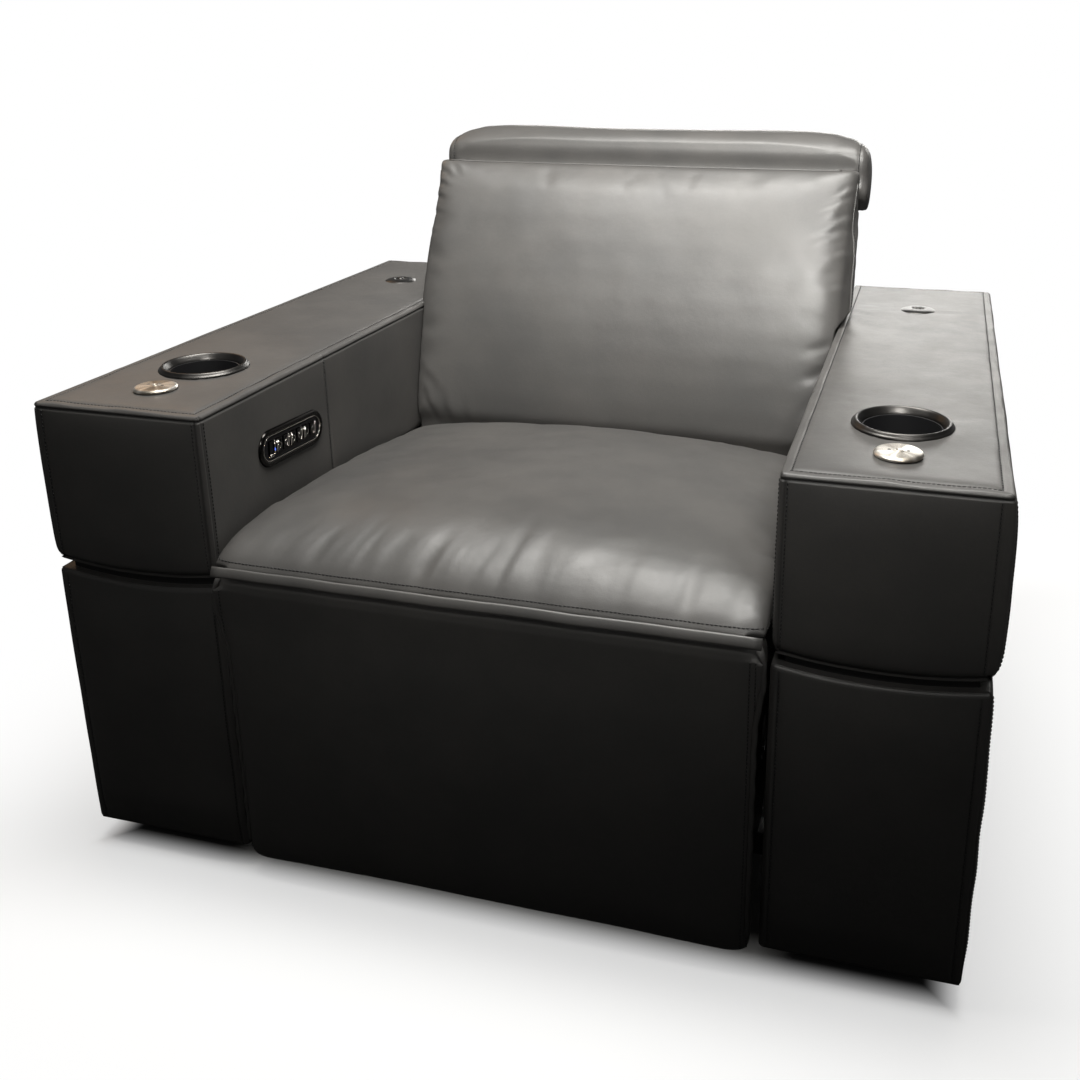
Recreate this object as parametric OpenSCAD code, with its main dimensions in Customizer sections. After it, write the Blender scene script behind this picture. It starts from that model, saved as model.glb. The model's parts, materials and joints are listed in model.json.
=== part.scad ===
// Powered cinema recliner: two box arms, chaise seat with a hinged footrest, reclining back, headrest.
// Millimetres. The front faces -Y, +Z is up, the origin is the centre of the footprint on the floor.
// Side profiles are drawn from the plane of the arms' front faces, so y counts rearwards from there.

/* [Overall] */
// Width of each arm
arm_width = 220; // [180:5:260]
// Depth of each arm, front to rear
arm_depth = 915; // [880:5:980]
// Height of the arm tops above the floor
arm_height = 595; // [560:5:640]
// Clear width between the arms
seat_gap = 640; // [600:5:720]
// Height of the feet that carry the arms
foot_height = 28; // [18:1:45]

/* [Arm boxes] */
// Height of the upper arm box at its corners
upper_box_height = 197; // [180:1:230]
// Height of the shadow gap between the boxes
notch_height = 12; // [6:1:20]
// How far the gap bows down at the middle of the arm
box_sag = 10; // [2:1:16]
// How far the lower box stands back
lower_box_recess = 6; // [2:1:9]
// Thickness of leather and foam on the upper box
cover_pad = 14; // [12:1:20]
// Rounding of the padded edges
cover_round = 9; // [4:1:12]
// Thickness of the plywood of the arm frames
ply = 15; // [12:1:22]
// Diameter of a foot
foot_d = 46; // [30:1:60]

/* [Cup holders] */
// Distance of the cup holders behind the arm front
cup_y = 175; // [150:1:230]
// Outer diameter of the cup holder ring
cup_ring_d = 110; // [100:1:124]
// Height of the ring above the leather
cup_ring_height = 7; // [4:0.5:10]
// Inner diameter of the cup well
cup_well_d = 83; // [76:1:88]
// Depth of the cup well below the leather
cup_well_depth = 82; // [60:1:110]
// Wall of the cup well
cup_wall = 1.5; // [1:0.1:3]

/* [Docks] */
// Distance of the front docks behind the arm front
front_dock_y = 78; // [60:1:95]
// Diameter of the steel dock caps
dock_cap_d = 50; // [40:1:56]
// Height of the steel dock caps
dock_cap_height = 5.5; // [3:0.5:9]
// Bore of the dock sockets
dock_bore_d = 25; // [16:1:30]
// Depth of the dock sockets
dock_depth = 55; // [40:1:80]
// Distance of the rear docks behind the arm front
rear_dock_y = 738; // [680:1:780]
// Diameter of the rear docks
rear_dock_d = 53; // [44:1:60]
// Diameter of the rear dock's centre post
rear_post_d = 10; // [6:1:14]

/* [Control panel] */
// Distance of the panel's centre behind the arm front
panel_y = 181; // [150:1:230]
// Depth of the panel's centre below the top of the arm
panel_drop = 85; // [75:1:100]
// Length of the bezel
panel_length = 149; // [140:1:165]
// Height of the bezel
panel_height = 47.5; // [44:0.5:54]
// Slope of the panel, rear end down
panel_tilt = 3.5; // [0:0.5:8]
// Width of the bezel's rim
panel_rim = 8; // [5:0.5:9]
// Height of the bezel above the leather
panel_rise = 4; // [2:0.5:6]
// Spacing of the keys
key_pitch = 16; // [14:0.5:17]
// Width of a key
key_width = 12.4; // [8:0.2:13]
// Height of a key
key_height = 18; // [12:0.5:22]
// Travel of a key
key_travel = 0.8; // [0.4:0.1:1.2]

/* [Seat] */
// Clearance between the seat cushion and each arm
seat_side_gap = 3.5; // [2:0.5:8]
// Height of the front seam above the floor
seam_height = 417; // [400:1:430]
// Depth of the front roll, from its nose to the top of the side edge
roll_depth = 109; // [80:1:130]
// Rise of the side edge above the front seam
roll_rise = 38; // [25:1:50]
// Fall of the side edge towards the back
seat_fall = 43; // [20:1:60]
// Crown of the seat across its width
seat_crown = 30; // [10:1:45]
// Distance of the cushion's rear end behind the arm front
seat_rear_y = 530; // [500:1:545]
// How far the front roll stands in front of the arms
roll_overhang = 9; // [4:1:14]

/* [Footrest] */
// Radius of the footrest's top nose about its hinge
nose_radius = 22; // [18:0.5:26]
// How far the footrest's edges stand in front of the arms
footrest_overhang = 15; // [10:1:20]
// Crown of the footrest face
footrest_crown = 5; // [0:0.5:8]
// Height of the footrest's lower edge above the floor
footrest_clear = 17; // [10:1:30]
// Thickness of the footrest board
footrest_board = 12; // [9:1:18]
// Furthest swing of the footrest
footrest_swing = 85; // [60:1:88]

/* [Back] */
// Lean of the upright back
back_angle = 22.9; // [15:0.1:28]
// Distance of the back cushion's foot behind the arm front
back_foot_y = 533; // [520:1:560]
// Length of the back cushion along its slope
back_length = 419; // [380:1:450]
// Thickness of the back cushion
back_thick = 95; // [80:1:120]
// Bulge of the cushion's side edges
back_bulge = 22; // [10:1:30]
// Further crown of the cushion at its middle
back_crown = 16; // [5:1:30]
// Thickness of the back frame
frame_thick = 24; // [18:1:30]
// Thickness of the outside back shell
shell_thick = 20; // [12:1:26]
// Recline of the back from upright
recline_range = 38; // [20:1:42]
// Distance of the recline pivot behind the arm front
pivot_y = 577; // [570:1:600]
// Depth of the recline pivot below the seat's front seam
pivot_drop = 82; // [72:1:92]

/* [Headrest] */
// Width of the headrest
head_width = 688; // [620:1:700]
// Height of the headrest along the slope
head_height = 118; // [100:1:130]
// Thickness of the headrest
head_thick = 100; // [80:1:110]
// How far the headrest's face stands behind the cushion's face
head_setback = 50; // [40:1:56]
// Radius of the headrest's top front roll
head_roll = 40; // [25:1:44]
// Drop of the rounded shoulders at the ends
head_shoulder_drop = 38; // [15:1:45]
// Length of the rounded shoulders
head_shoulder = 92; // [50:1:110]
// Rise of the headrest on its posts
head_lift = 70; // [40:1:80]
// Distance of each post from the middle
post_x = 110; // [80:1:150]
// Diameter of a headrest post
post_d = 14; // [10:1:16]

/* [Mechanism] */
// Thickness of the side plates, cranks, links and brackets
plate = 4; // [3:0.5:5]
// Width of a link or crank
link_width = 22; // [18:1:26]
// Diameter of the pivot pins
pin_d = 10; // [8:0.5:12]
// Diameter of the drive tubes
drive_tube_d = 24; // [20:1:28]
// Height and width of the cross tubes
cross_tube = 30; // [25:1:40]
// Height of the cross tubes' underside above the floor
cross_tube_z = 65; // [55:1:80]
// Width of the spring rails
rail_width = 28; // [20:1:34]
// Height of the spring rails
rail_height = 40; // [30:1:46]
// Wire of the seat springs
spring_wire = 4; // [3:0.5:5]
// Number of seat springs
spring_count = 5; // [3:1:6]
// Travel of the lumbar plate
lumbar_travel = 25; // [10:1:30]

/* [Hidden] */

// Fineness of round faces
$fn = 64;
// Fineness of the bends of the seat springs
bend_fn = 24;
// Overrun of every cut
over = 1;
// Running clearance of a shaft in its bore
run = 0.05;
// Running clearance of the far pin of a push link
open_run = 0.3;
// Clearance between soft or curved faces of different bodies
ease = 0.4;
// Clearance between flat plates that pass each other
side_ease = 1;

// Sizes that follow from the driving ones
front_overhang = footrest_overhang + footrest_crown;
front_y = -(arm_depth - front_overhang) / 2;
arm_inner = seat_gap / 2;
arm_mid = arm_inner + arm_width / 2;
frame_width = arm_width - 2 * cover_pad;
frame_depth = arm_depth - 2 * cover_pad;
frame_top = arm_height - cover_pad;
upper_box_bottom = arm_height - upper_box_height;
lower_box_top = upper_box_bottom - notch_height;
sag_radius = (arm_width * arm_width / 4 + box_sag * box_sag) / (2 * box_sag);
seat_half = arm_inner - seat_side_gap;

// Cup holder ring: throat, crest and skirt
cup_crest_share = 0.55;
cup_skirt_wall = 2;
cup_outer_r = cup_well_d / 2 + cup_wall;
cup_crest_r = cup_outer_r + (cup_ring_d / 2 - cup_outer_r) * cup_crest_share;
cup_skirt = cover_pad * 0.7;
cup_hole_r = cup_outer_r + cup_skirt_wall;

// Dock sockets
dock_wall = 2;
dock_flange = 1;
dock_outer_r = dock_bore_d / 2 + dock_wall;
dock_spigot = 18;
rear_dock_rise = 4.5;
rear_dock_spigot_r = rear_dock_d / 2 * 0.6;
rear_dock_groove = 3;

// Control panel
panel_z = arm_height - panel_drop;
plate_length = panel_length - 2 * panel_rim;
plate_height = panel_height - 2 * panel_rim;
panel_plate_thick = 2;
panel_fit = 0.2;
key_fit = 0.3;
key_lip = 0.8;
key_corner = 1.2;
key_rise = 1.6;
key_top = panel_plate_thick + key_rise;
key_depth = 5.5;
housing_depth = 34;
housing_wall = 2;
housing_length = plate_length * 0.94;
housing_height = plate_height * 0.9;
board_thick = 1.6;
switch_height = 3;
key_count = 7;

// Feet and cross tubes
foot_inset = foot_d;
foot_chamfer = 3;
front_tube_y = 110;
rear_tube_y = 560;
tube_wall = 2;
tube_top = cross_tube_z + cross_tube;

// Footrest hinge, drive tube and push links, in arm-front coordinates
hinge_y = nose_radius - footrest_overhang;
hinge_z = seam_height - nose_radius;
board_front_y = hinge_y + nose_radius - footrest_board;
board_back_y = hinge_y + nose_radius;
foot_pin_rel = [nose_radius * 2.05, -nose_radius * 4.3];
foot_drive_rel = [nose_radius * 9.1, -nose_radius * 3.64];
foot_pin = [hinge_y, hinge_z] + foot_pin_rel;
foot_drive = [hinge_y, hinge_z] + foot_drive_rel;
foot_crank = foot_drive + foot_pin_rel;

// Recline drive tube and push links, in arm-front coordinates; the places count from the pivot
recline_pin_rel = [20, -85];
recline_drive_rel = [-175, -35];
pivot_z = seam_height - pivot_drop;
recline_pivot = [pivot_y, pivot_z];
recline_pin = recline_pivot + recline_pin_rel;
recline_drive = recline_pivot + recline_drive_rel;
recline_crank = recline_drive + recline_pin_rel;

// Hinge ear at the top of each side plate, and the neck that carries it behind the footrest board
ear_r = link_width * 0.55;
neck_front = board_back_y + 2 * side_ease;
slot_r = ear_r + side_ease;

// Places of the plates across the width, counted from the middle
side_plate_x = seat_half - plate * 5;
hinge_plate_x = side_plate_x - 2 * plate;
bracket_x = seat_half * 0.68;
link_x = bracket_x + plate + side_ease;
crank_x = link_x + plate + side_ease;

// Spring rails and springs
rail_top = pivot_z + rail_height / 4;
front_rail_y = 85;
neck_rear = front_rail_y - rail_width - 2 * side_ease;
rear_rail_y = 502;
spring_margin = 60;
spring_rows = 14;

// Power supply and its inlet: width, depth and height of each
supply = [170, 80, 42];
supply_front = rear_tube_y - supply[1] / 4;
supply_rear = supply_front + supply[1];
inlet = [34, 18, 25];
inlet_wall = 3;
inlet_pin_r = 1.6;

// Journals of the drive tubes
journal_r = drive_tube_d * 0.33;

// Back, in its own tilted frame: x across, y rearwards from the face, z up along the slope
back_foot_z = seam_height;
frame_front = back_thick;
frame_rear = back_thick + frame_thick;
shell_rear = frame_rear + shell_thick;
frame_half = seat_half * 0.95;
shell_half = seat_half * 0.985;
head_seat = 25;
head_hinge_r = 5;
knuckle_r = head_hinge_r * 1.72;
head_foot = back_length - head_seat;
head_axis = [back_thick + frame_thick * 0.46, head_foot - knuckle_r - side_ease - ease];
head_top = head_foot + head_height;
back_frame_top = head_axis[1] - knuckle_r - side_ease;
head_under_r = 26;
head_plate_thick = 6;
head_plate_half = 200;
head_plate_height = 70;
sleeve_half = 10;
sleeve_length = 60;
sleeve_foot = head_axis[1] - frame_thick - sleeve_length;
post_foot = sleeve_foot - head_lift - side_ease;
pivot_local = to_back(recline_pivot);
recline_pin_local = to_back(recline_pin);
elbow_local = [frame_front + link_width / 2 + ease, pivot_local[1]];
shell_low = pivot_local[1] + link_width / 4;
shell_swung = swung([frame_rear, shell_low]);
tuck = 45;
tuck_front = 22;
back_flare = 3;
lumbar_low = 60;
lumbar_high = 210;
lumbar_mid = (lumbar_low + lumbar_high) / 2;
lumbar_half = 150;
lumbar_plate_thick = 5;
lumbar_clear = 6;
lumbar_recess = lumbar_travel + lumbar_plate_thick + side_ease + lumbar_clear;
lumbar_stem_r = 7;
lumbar_pocket = shell_thick / 2;

// Heads of the hinge bolts
bolt_head_r = pin_d * 0.85;

// Soft forms: stations across, and the width over which their sides draw in
soft_stations = 17;
soft_edge = 14;
seat_crown_start_share = 0.1;
seat_crown_full_share = 0.65;

// Turns a place in arm-front coordinates into the back's own frame
function to_back(p) = [
  (p[0] - back_foot_y) * cos(back_angle) - (p[1] - back_foot_z) * sin(back_angle),
  (p[0] - back_foot_y) * sin(back_angle) + (p[1] - back_foot_z) * cos(back_angle)
];

// Where a place of the back's own frame stands with the back fully reclined
function swung(p) = let (lean = back_angle + recline_range, q = p - pivot_local)
  recline_pivot + [q[0] * cos(lean) + q[1] * sin(lean), q[1] * cos(lean) - q[0] * sin(lean)];

// Moves children from arm-front coordinates to the part's frame
module seated() translate([0, front_y, 0]) children();

// Moves children from the back's own frame to the part's frame
module on_back() seated() translate([0, back_foot_y, back_foot_z]) rotate([-back_angle, 0, 0]) children();

// The left side is the mirror image of the right one
module left_side() mirror([1, 0, 0]) children();

// Extrudes a side profile (y, z) across the width from x0 to x1
module side_profile(x0, x1) translate([x0, 0, 0]) rotate([90, 0, 90]) linear_extrude(x1 - x0) children();

// Round bar across the width
module cross_bar(x0, x1, p, r) translate([x0, p[0], p[1]]) rotate([0, 90, 0]) cylinder(h = x1 - x0, r = r);

// Box with rounded edges, its low corner at the origin: the meeting of its three rounded outlines
module soft_box(size, r) translate(size / 2) intersection() {
  translate([0, 0, -size[2] / 2]) linear_extrude(size[2]) round_rect(size[0], size[1], r);
  rotate([90, 0, 0]) translate([0, 0, -size[1] / 2]) linear_extrude(size[1]) round_rect(size[0], size[2], r);
  side_profile(-size[0] / 2, size[0] / 2) round_rect(size[1], size[2], r);
}

// Flat bar between two points, with round ends
module bar(p, q, width) {
  span = norm(q - p);
  turn = atan2(q[1] - p[1], q[0] - p[0]);
  translate(p) rotate(turn) {
    circle(d = width);
    translate([span, 0]) circle(d = width);
    translate([0, -width / 2]) square([span, width]);
  }
}

// Slot outline with round ends, centred
module stadium(length, height) {
  square([length - height, height], center = true);
  for (side = [-1, 1]) translate([side * (length - height) / 2, 0]) circle(d = height);
}

// Rectangle with rounded corners, centred
module round_rect(width, height, r) {
  square([width - 2 * r, height], center = true);
  square([width, height - 2 * r], center = true);
  for (x = [-1, 1], y = [-1, 1])
    translate([x * (width / 2 - r), y * (height / 2 - r)]) circle(r = r);
}

// Solid skinned over closed loops of points, all with the same number of points
module skin(loops) {
  n = len(loops[0]);
  m = len(loops);
  points = [
    for (loop = loops) each loop,
    centroid(loops[0]),
    centroid(loops[m - 1])
  ];
  walls = [
    for (i = [0 : m - 2], j = [0 : n - 1]) let (k = (j + 1) % n, a = i * n, b = a + n)
      each [[a + j, a + k, b + k], [a + j, b + k, b + j]]
  ];
  ends = [
    for (j = [0 : n - 1]) let (k = (j + 1) % n, a = (m - 1) * n)
      each [[m * n, k, j], [m * n + 1, a + j, a + k]]
  ];
  polyhedron(points = points, faces = concat(walls, ends));
}
function centroid(loop) = [for (c = [0 : 2]) [for (p = loop) p[c]] * [for (p = loop) 1] / len(loop)];

// Stations across a soft form, closer together at its drawn-in sides
function station(i, half) = half * sin(90 * (2 * i / (soft_stations - 1) - 1));

// Rounding of a soft form towards its sides: 0 at the very edge, 1 from soft_edge inwards
function side_fill(x, half) = let (t = min(1, (half - abs(x)) / soft_edge)) sqrt(1 - (1 - t) * (1 - t));

// Points of an arc from angle a to angle b in steps
function arc(centre, r, a, b, steps) =
  [for (i = [0 : steps]) let (t = a + (b - a) * i / steps) centre + r * [cos(t), sin(t)]];

// Arms

module arm_hole(y, depth, r) translate([arm_mid, y, frame_top - depth]) cylinder(h = 2 * depth, r = r);
module arm_openings(rim) {
  arm_hole(cup_y, cup_well_depth, cup_hole_r + rim);
  arm_hole(front_dock_y, dock_depth, dock_outer_r + rim);
  arm_hole(rear_dock_y, dock_spigot, rear_dock_spigot_r + rim);
}

module panel_opening() panel_place() side_profile(-2 * (cover_pad + ply), over)
  stadium(housing_length + over, housing_height + over);

module arm_frame() {
  low = foot_height;
  x0 = arm_inner + cover_pad;
  difference() {
    union() {
      for (x = [x0, x0 + frame_width - ply])
        translate([x, cover_pad, low]) cube([ply, frame_depth, frame_top - low]);
      for (y = [cover_pad, cover_pad + frame_depth - ply])
        translate([x0, y, low]) cube([frame_width, ply, frame_top - low]);
      translate([x0, cover_pad, frame_top - ply]) cube([frame_width, frame_depth, ply]);
      translate([x0, cover_pad, low]) cube([frame_width, frame_depth, ply]);
    }
    arm_openings(over);
  }
}
module left_arm_frame() color("burlywood") seated() difference() {
  left_side() arm_frame();
  panel_opening();
}
module right_arm_frame() color("burlywood") seated() arm_frame();

module upper_cover() {
  low = upper_box_bottom - box_sag;
  difference() {
    intersection() {
      translate([arm_inner, 0, low - cover_round])
        soft_box([arm_width, arm_depth, arm_height - low + cover_round], cover_round);
      translate([arm_mid, -over, low + sag_radius]) rotate([-90, 0, 0])
        cylinder(h = arm_depth + 2 * over, r = sag_radius, $fn = 4 * $fn);
    }
    translate([arm_inner + cover_pad, cover_pad, low - over])
      cube([frame_width, frame_depth, frame_top - low + over]);
    arm_openings(panel_fit);
  }
}
module left_upper_arm_cover() color("dimgray") seated() difference() {
  left_side() upper_cover();
  panel_opening();
}
module right_upper_arm_cover() color("dimgray") seated() upper_cover();

module lower_cover() {
  difference() {
    translate([arm_inner + lower_box_recess, lower_box_recess, foot_height])
      soft_box([
        arm_width - 2 * lower_box_recess,
        arm_depth - 2 * lower_box_recess,
        lower_box_top + cover_round - foot_height
      ], cover_round);
    translate([arm_mid, -over, lower_box_top - box_sag + sag_radius]) rotate([-90, 0, 0])
      cylinder(h = arm_depth + 2 * over, r = sag_radius, $fn = 4 * $fn);
    translate([arm_inner + cover_pad, cover_pad, 0]) cube([frame_width, frame_depth, arm_height]);
    for (y = [front_tube_y, rear_tube_y]) translate([0, y - ease, cross_tube_z - ease])
      cube([arm_mid, cross_tube + 2 * ease, cross_tube + 2 * ease]);
  }
}
module left_lower_arm_cover() color("dimgray") seated() left_side() lower_cover();
module right_lower_arm_cover() color("dimgray") seated() lower_cover();

module foot() {
  cylinder(h = foot_chamfer, r1 = foot_d / 2 - foot_chamfer, r2 = foot_d / 2);
  translate([0, 0, foot_chamfer]) cylinder(h = foot_height - foot_chamfer, d = foot_d);
}
module arm_feet() color("black") seated()
  for (x = [-1, 1], y = [cover_pad + foot_inset, arm_depth - cover_pad - foot_inset])
    translate([arm_mid + x * frame_width / 4, y, 0]) foot();
module left_arm_feet() left_side() arm_feet();
module right_arm_feet() arm_feet();

// Cup holders and docks

module cup_ring() color("#303032") seated() translate([arm_mid, cup_y, arm_height]) rotate_extrude()
  polygon([
    [cup_outer_r, -cup_skirt], [cup_hole_r, -cup_skirt], [cup_hole_r, 0], [cup_ring_d / 2, 0],
    [cup_ring_d / 2, cup_ring_height / 3], [cup_ring_d / 2 - cup_ring_height / 3, cup_ring_height * 0.8],
    [cup_crest_r + cup_wall, cup_ring_height], [cup_crest_r, cup_ring_height * 0.92],
    [cup_outer_r + cup_wall, cup_ring_height * 0.2], [cup_outer_r, -cup_wall]
  ]);
module left_cup_ring() left_side() cup_ring();
module right_cup_ring() cup_ring();

module cup_liner() color("#101011") seated()
  translate([arm_mid, cup_y, arm_height - cup_well_depth]) difference() {
    cylinder(h = cup_well_depth - cup_wall, r = cup_outer_r);
    translate([0, 0, cup_wall]) cylinder(h = cup_well_depth, d = cup_well_d);
  }
module left_cup_liner() left_side() cup_liner();
module right_cup_liner() cup_liner();

module front_dock_socket() color("#2a2a2c") seated()
  translate([arm_mid, front_dock_y, arm_height]) difference() {
    union() {
      translate([0, 0, -dock_depth]) cylinder(h = dock_depth, r = dock_outer_r);
      cylinder(h = dock_flange, d = dock_cap_d - 2 * dock_wall);
    }
    translate([0, 0, -dock_depth + dock_wall]) cylinder(h = dock_depth * 2, d = dock_bore_d);
  }
module left_front_dock_socket() left_side() front_dock_socket();
module right_front_dock_socket() front_dock_socket();

module front_dock_cap() color("silver") seated() translate([arm_mid, front_dock_y, arm_height + dock_flange])
  rotate_extrude() polygon([
    [0, -dock_spigot], [dock_bore_d / 2 - panel_fit, -dock_spigot], [dock_bore_d / 2 - panel_fit, 0],
    [dock_cap_d / 2, 0], [dock_cap_d / 2, dock_cap_height * 0.55],
    [dock_cap_d / 2 - dock_cap_height * 0.4, dock_cap_height * 0.82], [0, dock_cap_height]
  ]);
module left_front_dock_cap() left_side() front_dock_cap();
module right_front_dock_cap() front_dock_cap();

// Domed receiver with a raised post and two arc recesses beside it
module rear_dock() color("#3a3a3c") seated() translate([arm_mid, rear_dock_y, arm_height]) {
  difference() {
    rotate_extrude() polygon([
      [0, -dock_spigot], [rear_dock_spigot_r, -dock_spigot], [rear_dock_spigot_r, 0], [rear_dock_d / 2, 0],
      [rear_dock_d / 2, rear_dock_rise * 0.4], [rear_dock_d * 0.42, rear_dock_rise * 0.8],
      [rear_dock_d * 0.3, rear_dock_rise], [0, rear_dock_rise]
    ]);
    difference() {
      translate([0, 0, rear_dock_rise - rear_dock_groove])
        cylinder(h = rear_dock_groove + over, r = rear_dock_d * 0.26);
      translate([0, 0, -dock_spigot]) cylinder(h = dock_depth, r = rear_dock_d * 0.16);
      translate([-rear_dock_d / 2, -rear_dock_groove, 0])
        cube([rear_dock_d, rear_dock_groove * 2, dock_depth]);
    }
  }
  translate([0, 0, rear_dock_rise]) cylinder(h = rear_dock_groove * 0.6, d = rear_post_d);
}
module left_rear_dock() left_side() rear_dock();
module right_rear_dock() rear_dock();

// Control panel in the left arm's inner face: x outwards from the leather, y along, z up

module panel_place() translate([-arm_inner, panel_y, panel_z]) rotate([-panel_tilt, 0, 0]) children();
function key_place(i) = (i - (key_count - 1) / 2) * key_pitch;

module control_bezel() color("#2c2c30") seated() panel_place() {
  side_profile(0, panel_rise) difference() {
    stadium(panel_length, panel_height);
    stadium(plate_length + 2 * panel_fit, plate_height + 2 * panel_fit);
  }
}
module control_plate() color("#0a0a0b") seated() panel_place()
  side_profile(0, panel_plate_thick) difference() {
    stadium(plate_length, plate_height);
    for (i = [0 : key_count - 1]) translate([key_place(i), 0])
      round_rect(key_width + 2 * key_fit, key_height + 2 * key_fit, key_corner);
  }
module control_housing() color("#18181a") seated() panel_place() difference() {
  side_profile(-housing_depth, 0) stadium(housing_length, housing_height);
  side_profile(housing_wall - housing_depth, over)
    stadium(housing_length - 2 * housing_wall, housing_height - 2 * housing_wall);
}
module control_board() color("darkgreen") seated() panel_place() {
  top = key_top - key_depth - key_travel - panel_fit;
  side_profile(top - switch_height - board_thick, top - switch_height)
    stadium(housing_length - 2 * housing_wall - panel_fit, housing_height - 2 * housing_wall - panel_fit);
  for (i = [0 : key_count - 1]) side_profile(top - switch_height, top)
    translate([key_place(i), 0]) square([key_width / 2, key_width / 2], center = true);
}
// Key with a dished face and a lip behind the plate that keeps it in
module panel_key(i) color("#4a4a50") seated() panel_place() difference() {
  union() {
    side_profile(key_top - key_depth, key_top) translate([key_place(i), 0])
      round_rect(key_width, key_height, key_corner);
    side_profile(key_top - key_depth, -run) translate([key_place(i), 0])
      round_rect(key_width + 2 * key_lip, key_height + 2 * key_lip, key_corner + key_lip);
  }
  side_profile(key_top - key_rise / 2, key_top + over) translate([key_place(i), 0])
    round_rect(key_width * 0.6, key_height * 0.7, key_corner);
}
module key_power() panel_key(0);
module key_recline() panel_key(1);
module key_upright() panel_key(2);
module key_headrest_up() panel_key(3);
module key_headrest_down() panel_key(4);
module key_lumbar_out() panel_key(5);
module key_lumbar_in() panel_key(6);

// Base: cross tubes between the arms, side plates, spring rails

module cross_member(y) color("#303030") seated() {
  half = arm_inner + cover_pad;
  difference() {
    translate([-half, y, cross_tube_z]) cube([2 * half, cross_tube, cross_tube]);
    translate([-half - over, y + tube_wall, cross_tube_z + tube_wall])
      cube([2 * (half + over), cross_tube - 2 * tube_wall, cross_tube - 2 * tube_wall]);
  }
}
module front_cross_tube() cross_member(front_tube_y);
module rear_cross_tube() cross_member(rear_tube_y);

module side_plate_profile() {
  hinge = [hinge_y, hinge_z];
  shoulder = [neck_rear + link_width, rail_top - link_width];
  difference() {
    union() {
      translate(hinge) circle(r = ear_r);
      polygon([
        hinge + [0, ear_r], hinge + [nose_radius, ear_r / 2], [neck_rear, rail_top + link_width],
        [neck_rear, rail_top], shoulder + [0, link_width], shoulder,
        [neck_front, rail_top - link_width], [neck_front, hinge_z - ear_r], hinge + [0, -ear_r]
      ]);
      polygon([
        [neck_front, rail_top - link_width], [neck_front + link_width, tube_top + cross_tube],
        [front_tube_y - cross_tube / 2, tube_top], [front_tube_y + cross_tube, tube_top],
        [front_tube_y + 2 * cross_tube, tube_top + cross_tube],
        [rear_tube_y - cross_tube, tube_top + cross_tube],
        [rear_tube_y, tube_top], [shell_swung[0] - 2 * side_ease, tube_top],
        [shell_swung[0] - 2 * side_ease, pivot_z - link_width], [pivot_y, rail_top], [neck_rear, rail_top]
      ]);
      translate(recline_pivot) circle(d = link_width * 2);
    }
    for (p = [hinge, recline_pivot]) translate(p) circle(r = pin_d / 2 + run);
    for (p = [foot_drive, recline_drive]) translate(p) circle(r = journal_r + run);
    for (y = [front_tube_y + cross_tube : 3 * cross_tube : rear_tube_y - cross_tube])
      translate([y, (tube_top + cross_tube + foot_drive[1] - journal_r) / 2 - plate])
        circle(d = 2 * cross_tube);
  }
}
module side_plate() color("#3c3c3e") seated() {
  side_profile(side_plate_x, side_plate_x + plate) side_plate_profile();
  for (y = [front_tube_y, rear_tube_y]) translate([side_plate_x - cross_tube, y - cross_tube / 2, tube_top])
    cube([cross_tube + plate, 2 * cross_tube, plate]);
}
module left_side_plate() left_side() side_plate();
module right_side_plate() side_plate();

module spring_rail(y) color("burlywood") seated()
  translate([-side_plate_x, y, rail_top - rail_height]) cube([2 * side_plate_x, rail_width, rail_height]);
module front_spring_rail() spring_rail(front_rail_y);
module rear_spring_rail() spring_rail(rear_rail_y);

// Flat view of one zigzag spring: bars across, joined by half rings at alternate ends
module zigzag(width, length, pitch) {
  bars = floor(length / pitch);
  for (i = [0 : bars]) {
    translate([-width / 2, i * pitch - spring_wire / 2]) square([width, spring_wire]);
    if (i < bars) translate([(i % 2 == 0 ? 1 : -1) * width / 2, (i + 0.5) * pitch]) difference() {
      circle(d = pitch + spring_wire, $fn = bend_fn);
      circle(d = pitch - spring_wire, $fn = bend_fn);
      translate([i % 2 == 0 ? -pitch : 0, -pitch]) square([pitch, 2 * pitch]);
    }
  }
}
module seat_springs() color("#8a8a8a") seated() {
  start = front_rail_y + rail_width / 2;
  length = rear_rail_y + rail_width / 2 - start;
  spread = 2 * (side_plate_x - spring_margin) / (spring_count - 1);
  for (i = [0 : spring_count - 1])
    translate([i * spread - side_plate_x + spring_margin, start, rail_top])
      linear_extrude(spring_wire) zigzag(spread * 0.3, length, length / spring_rows);
}

// Seat cushion: front roll, falling side edges, crown across the width

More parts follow.
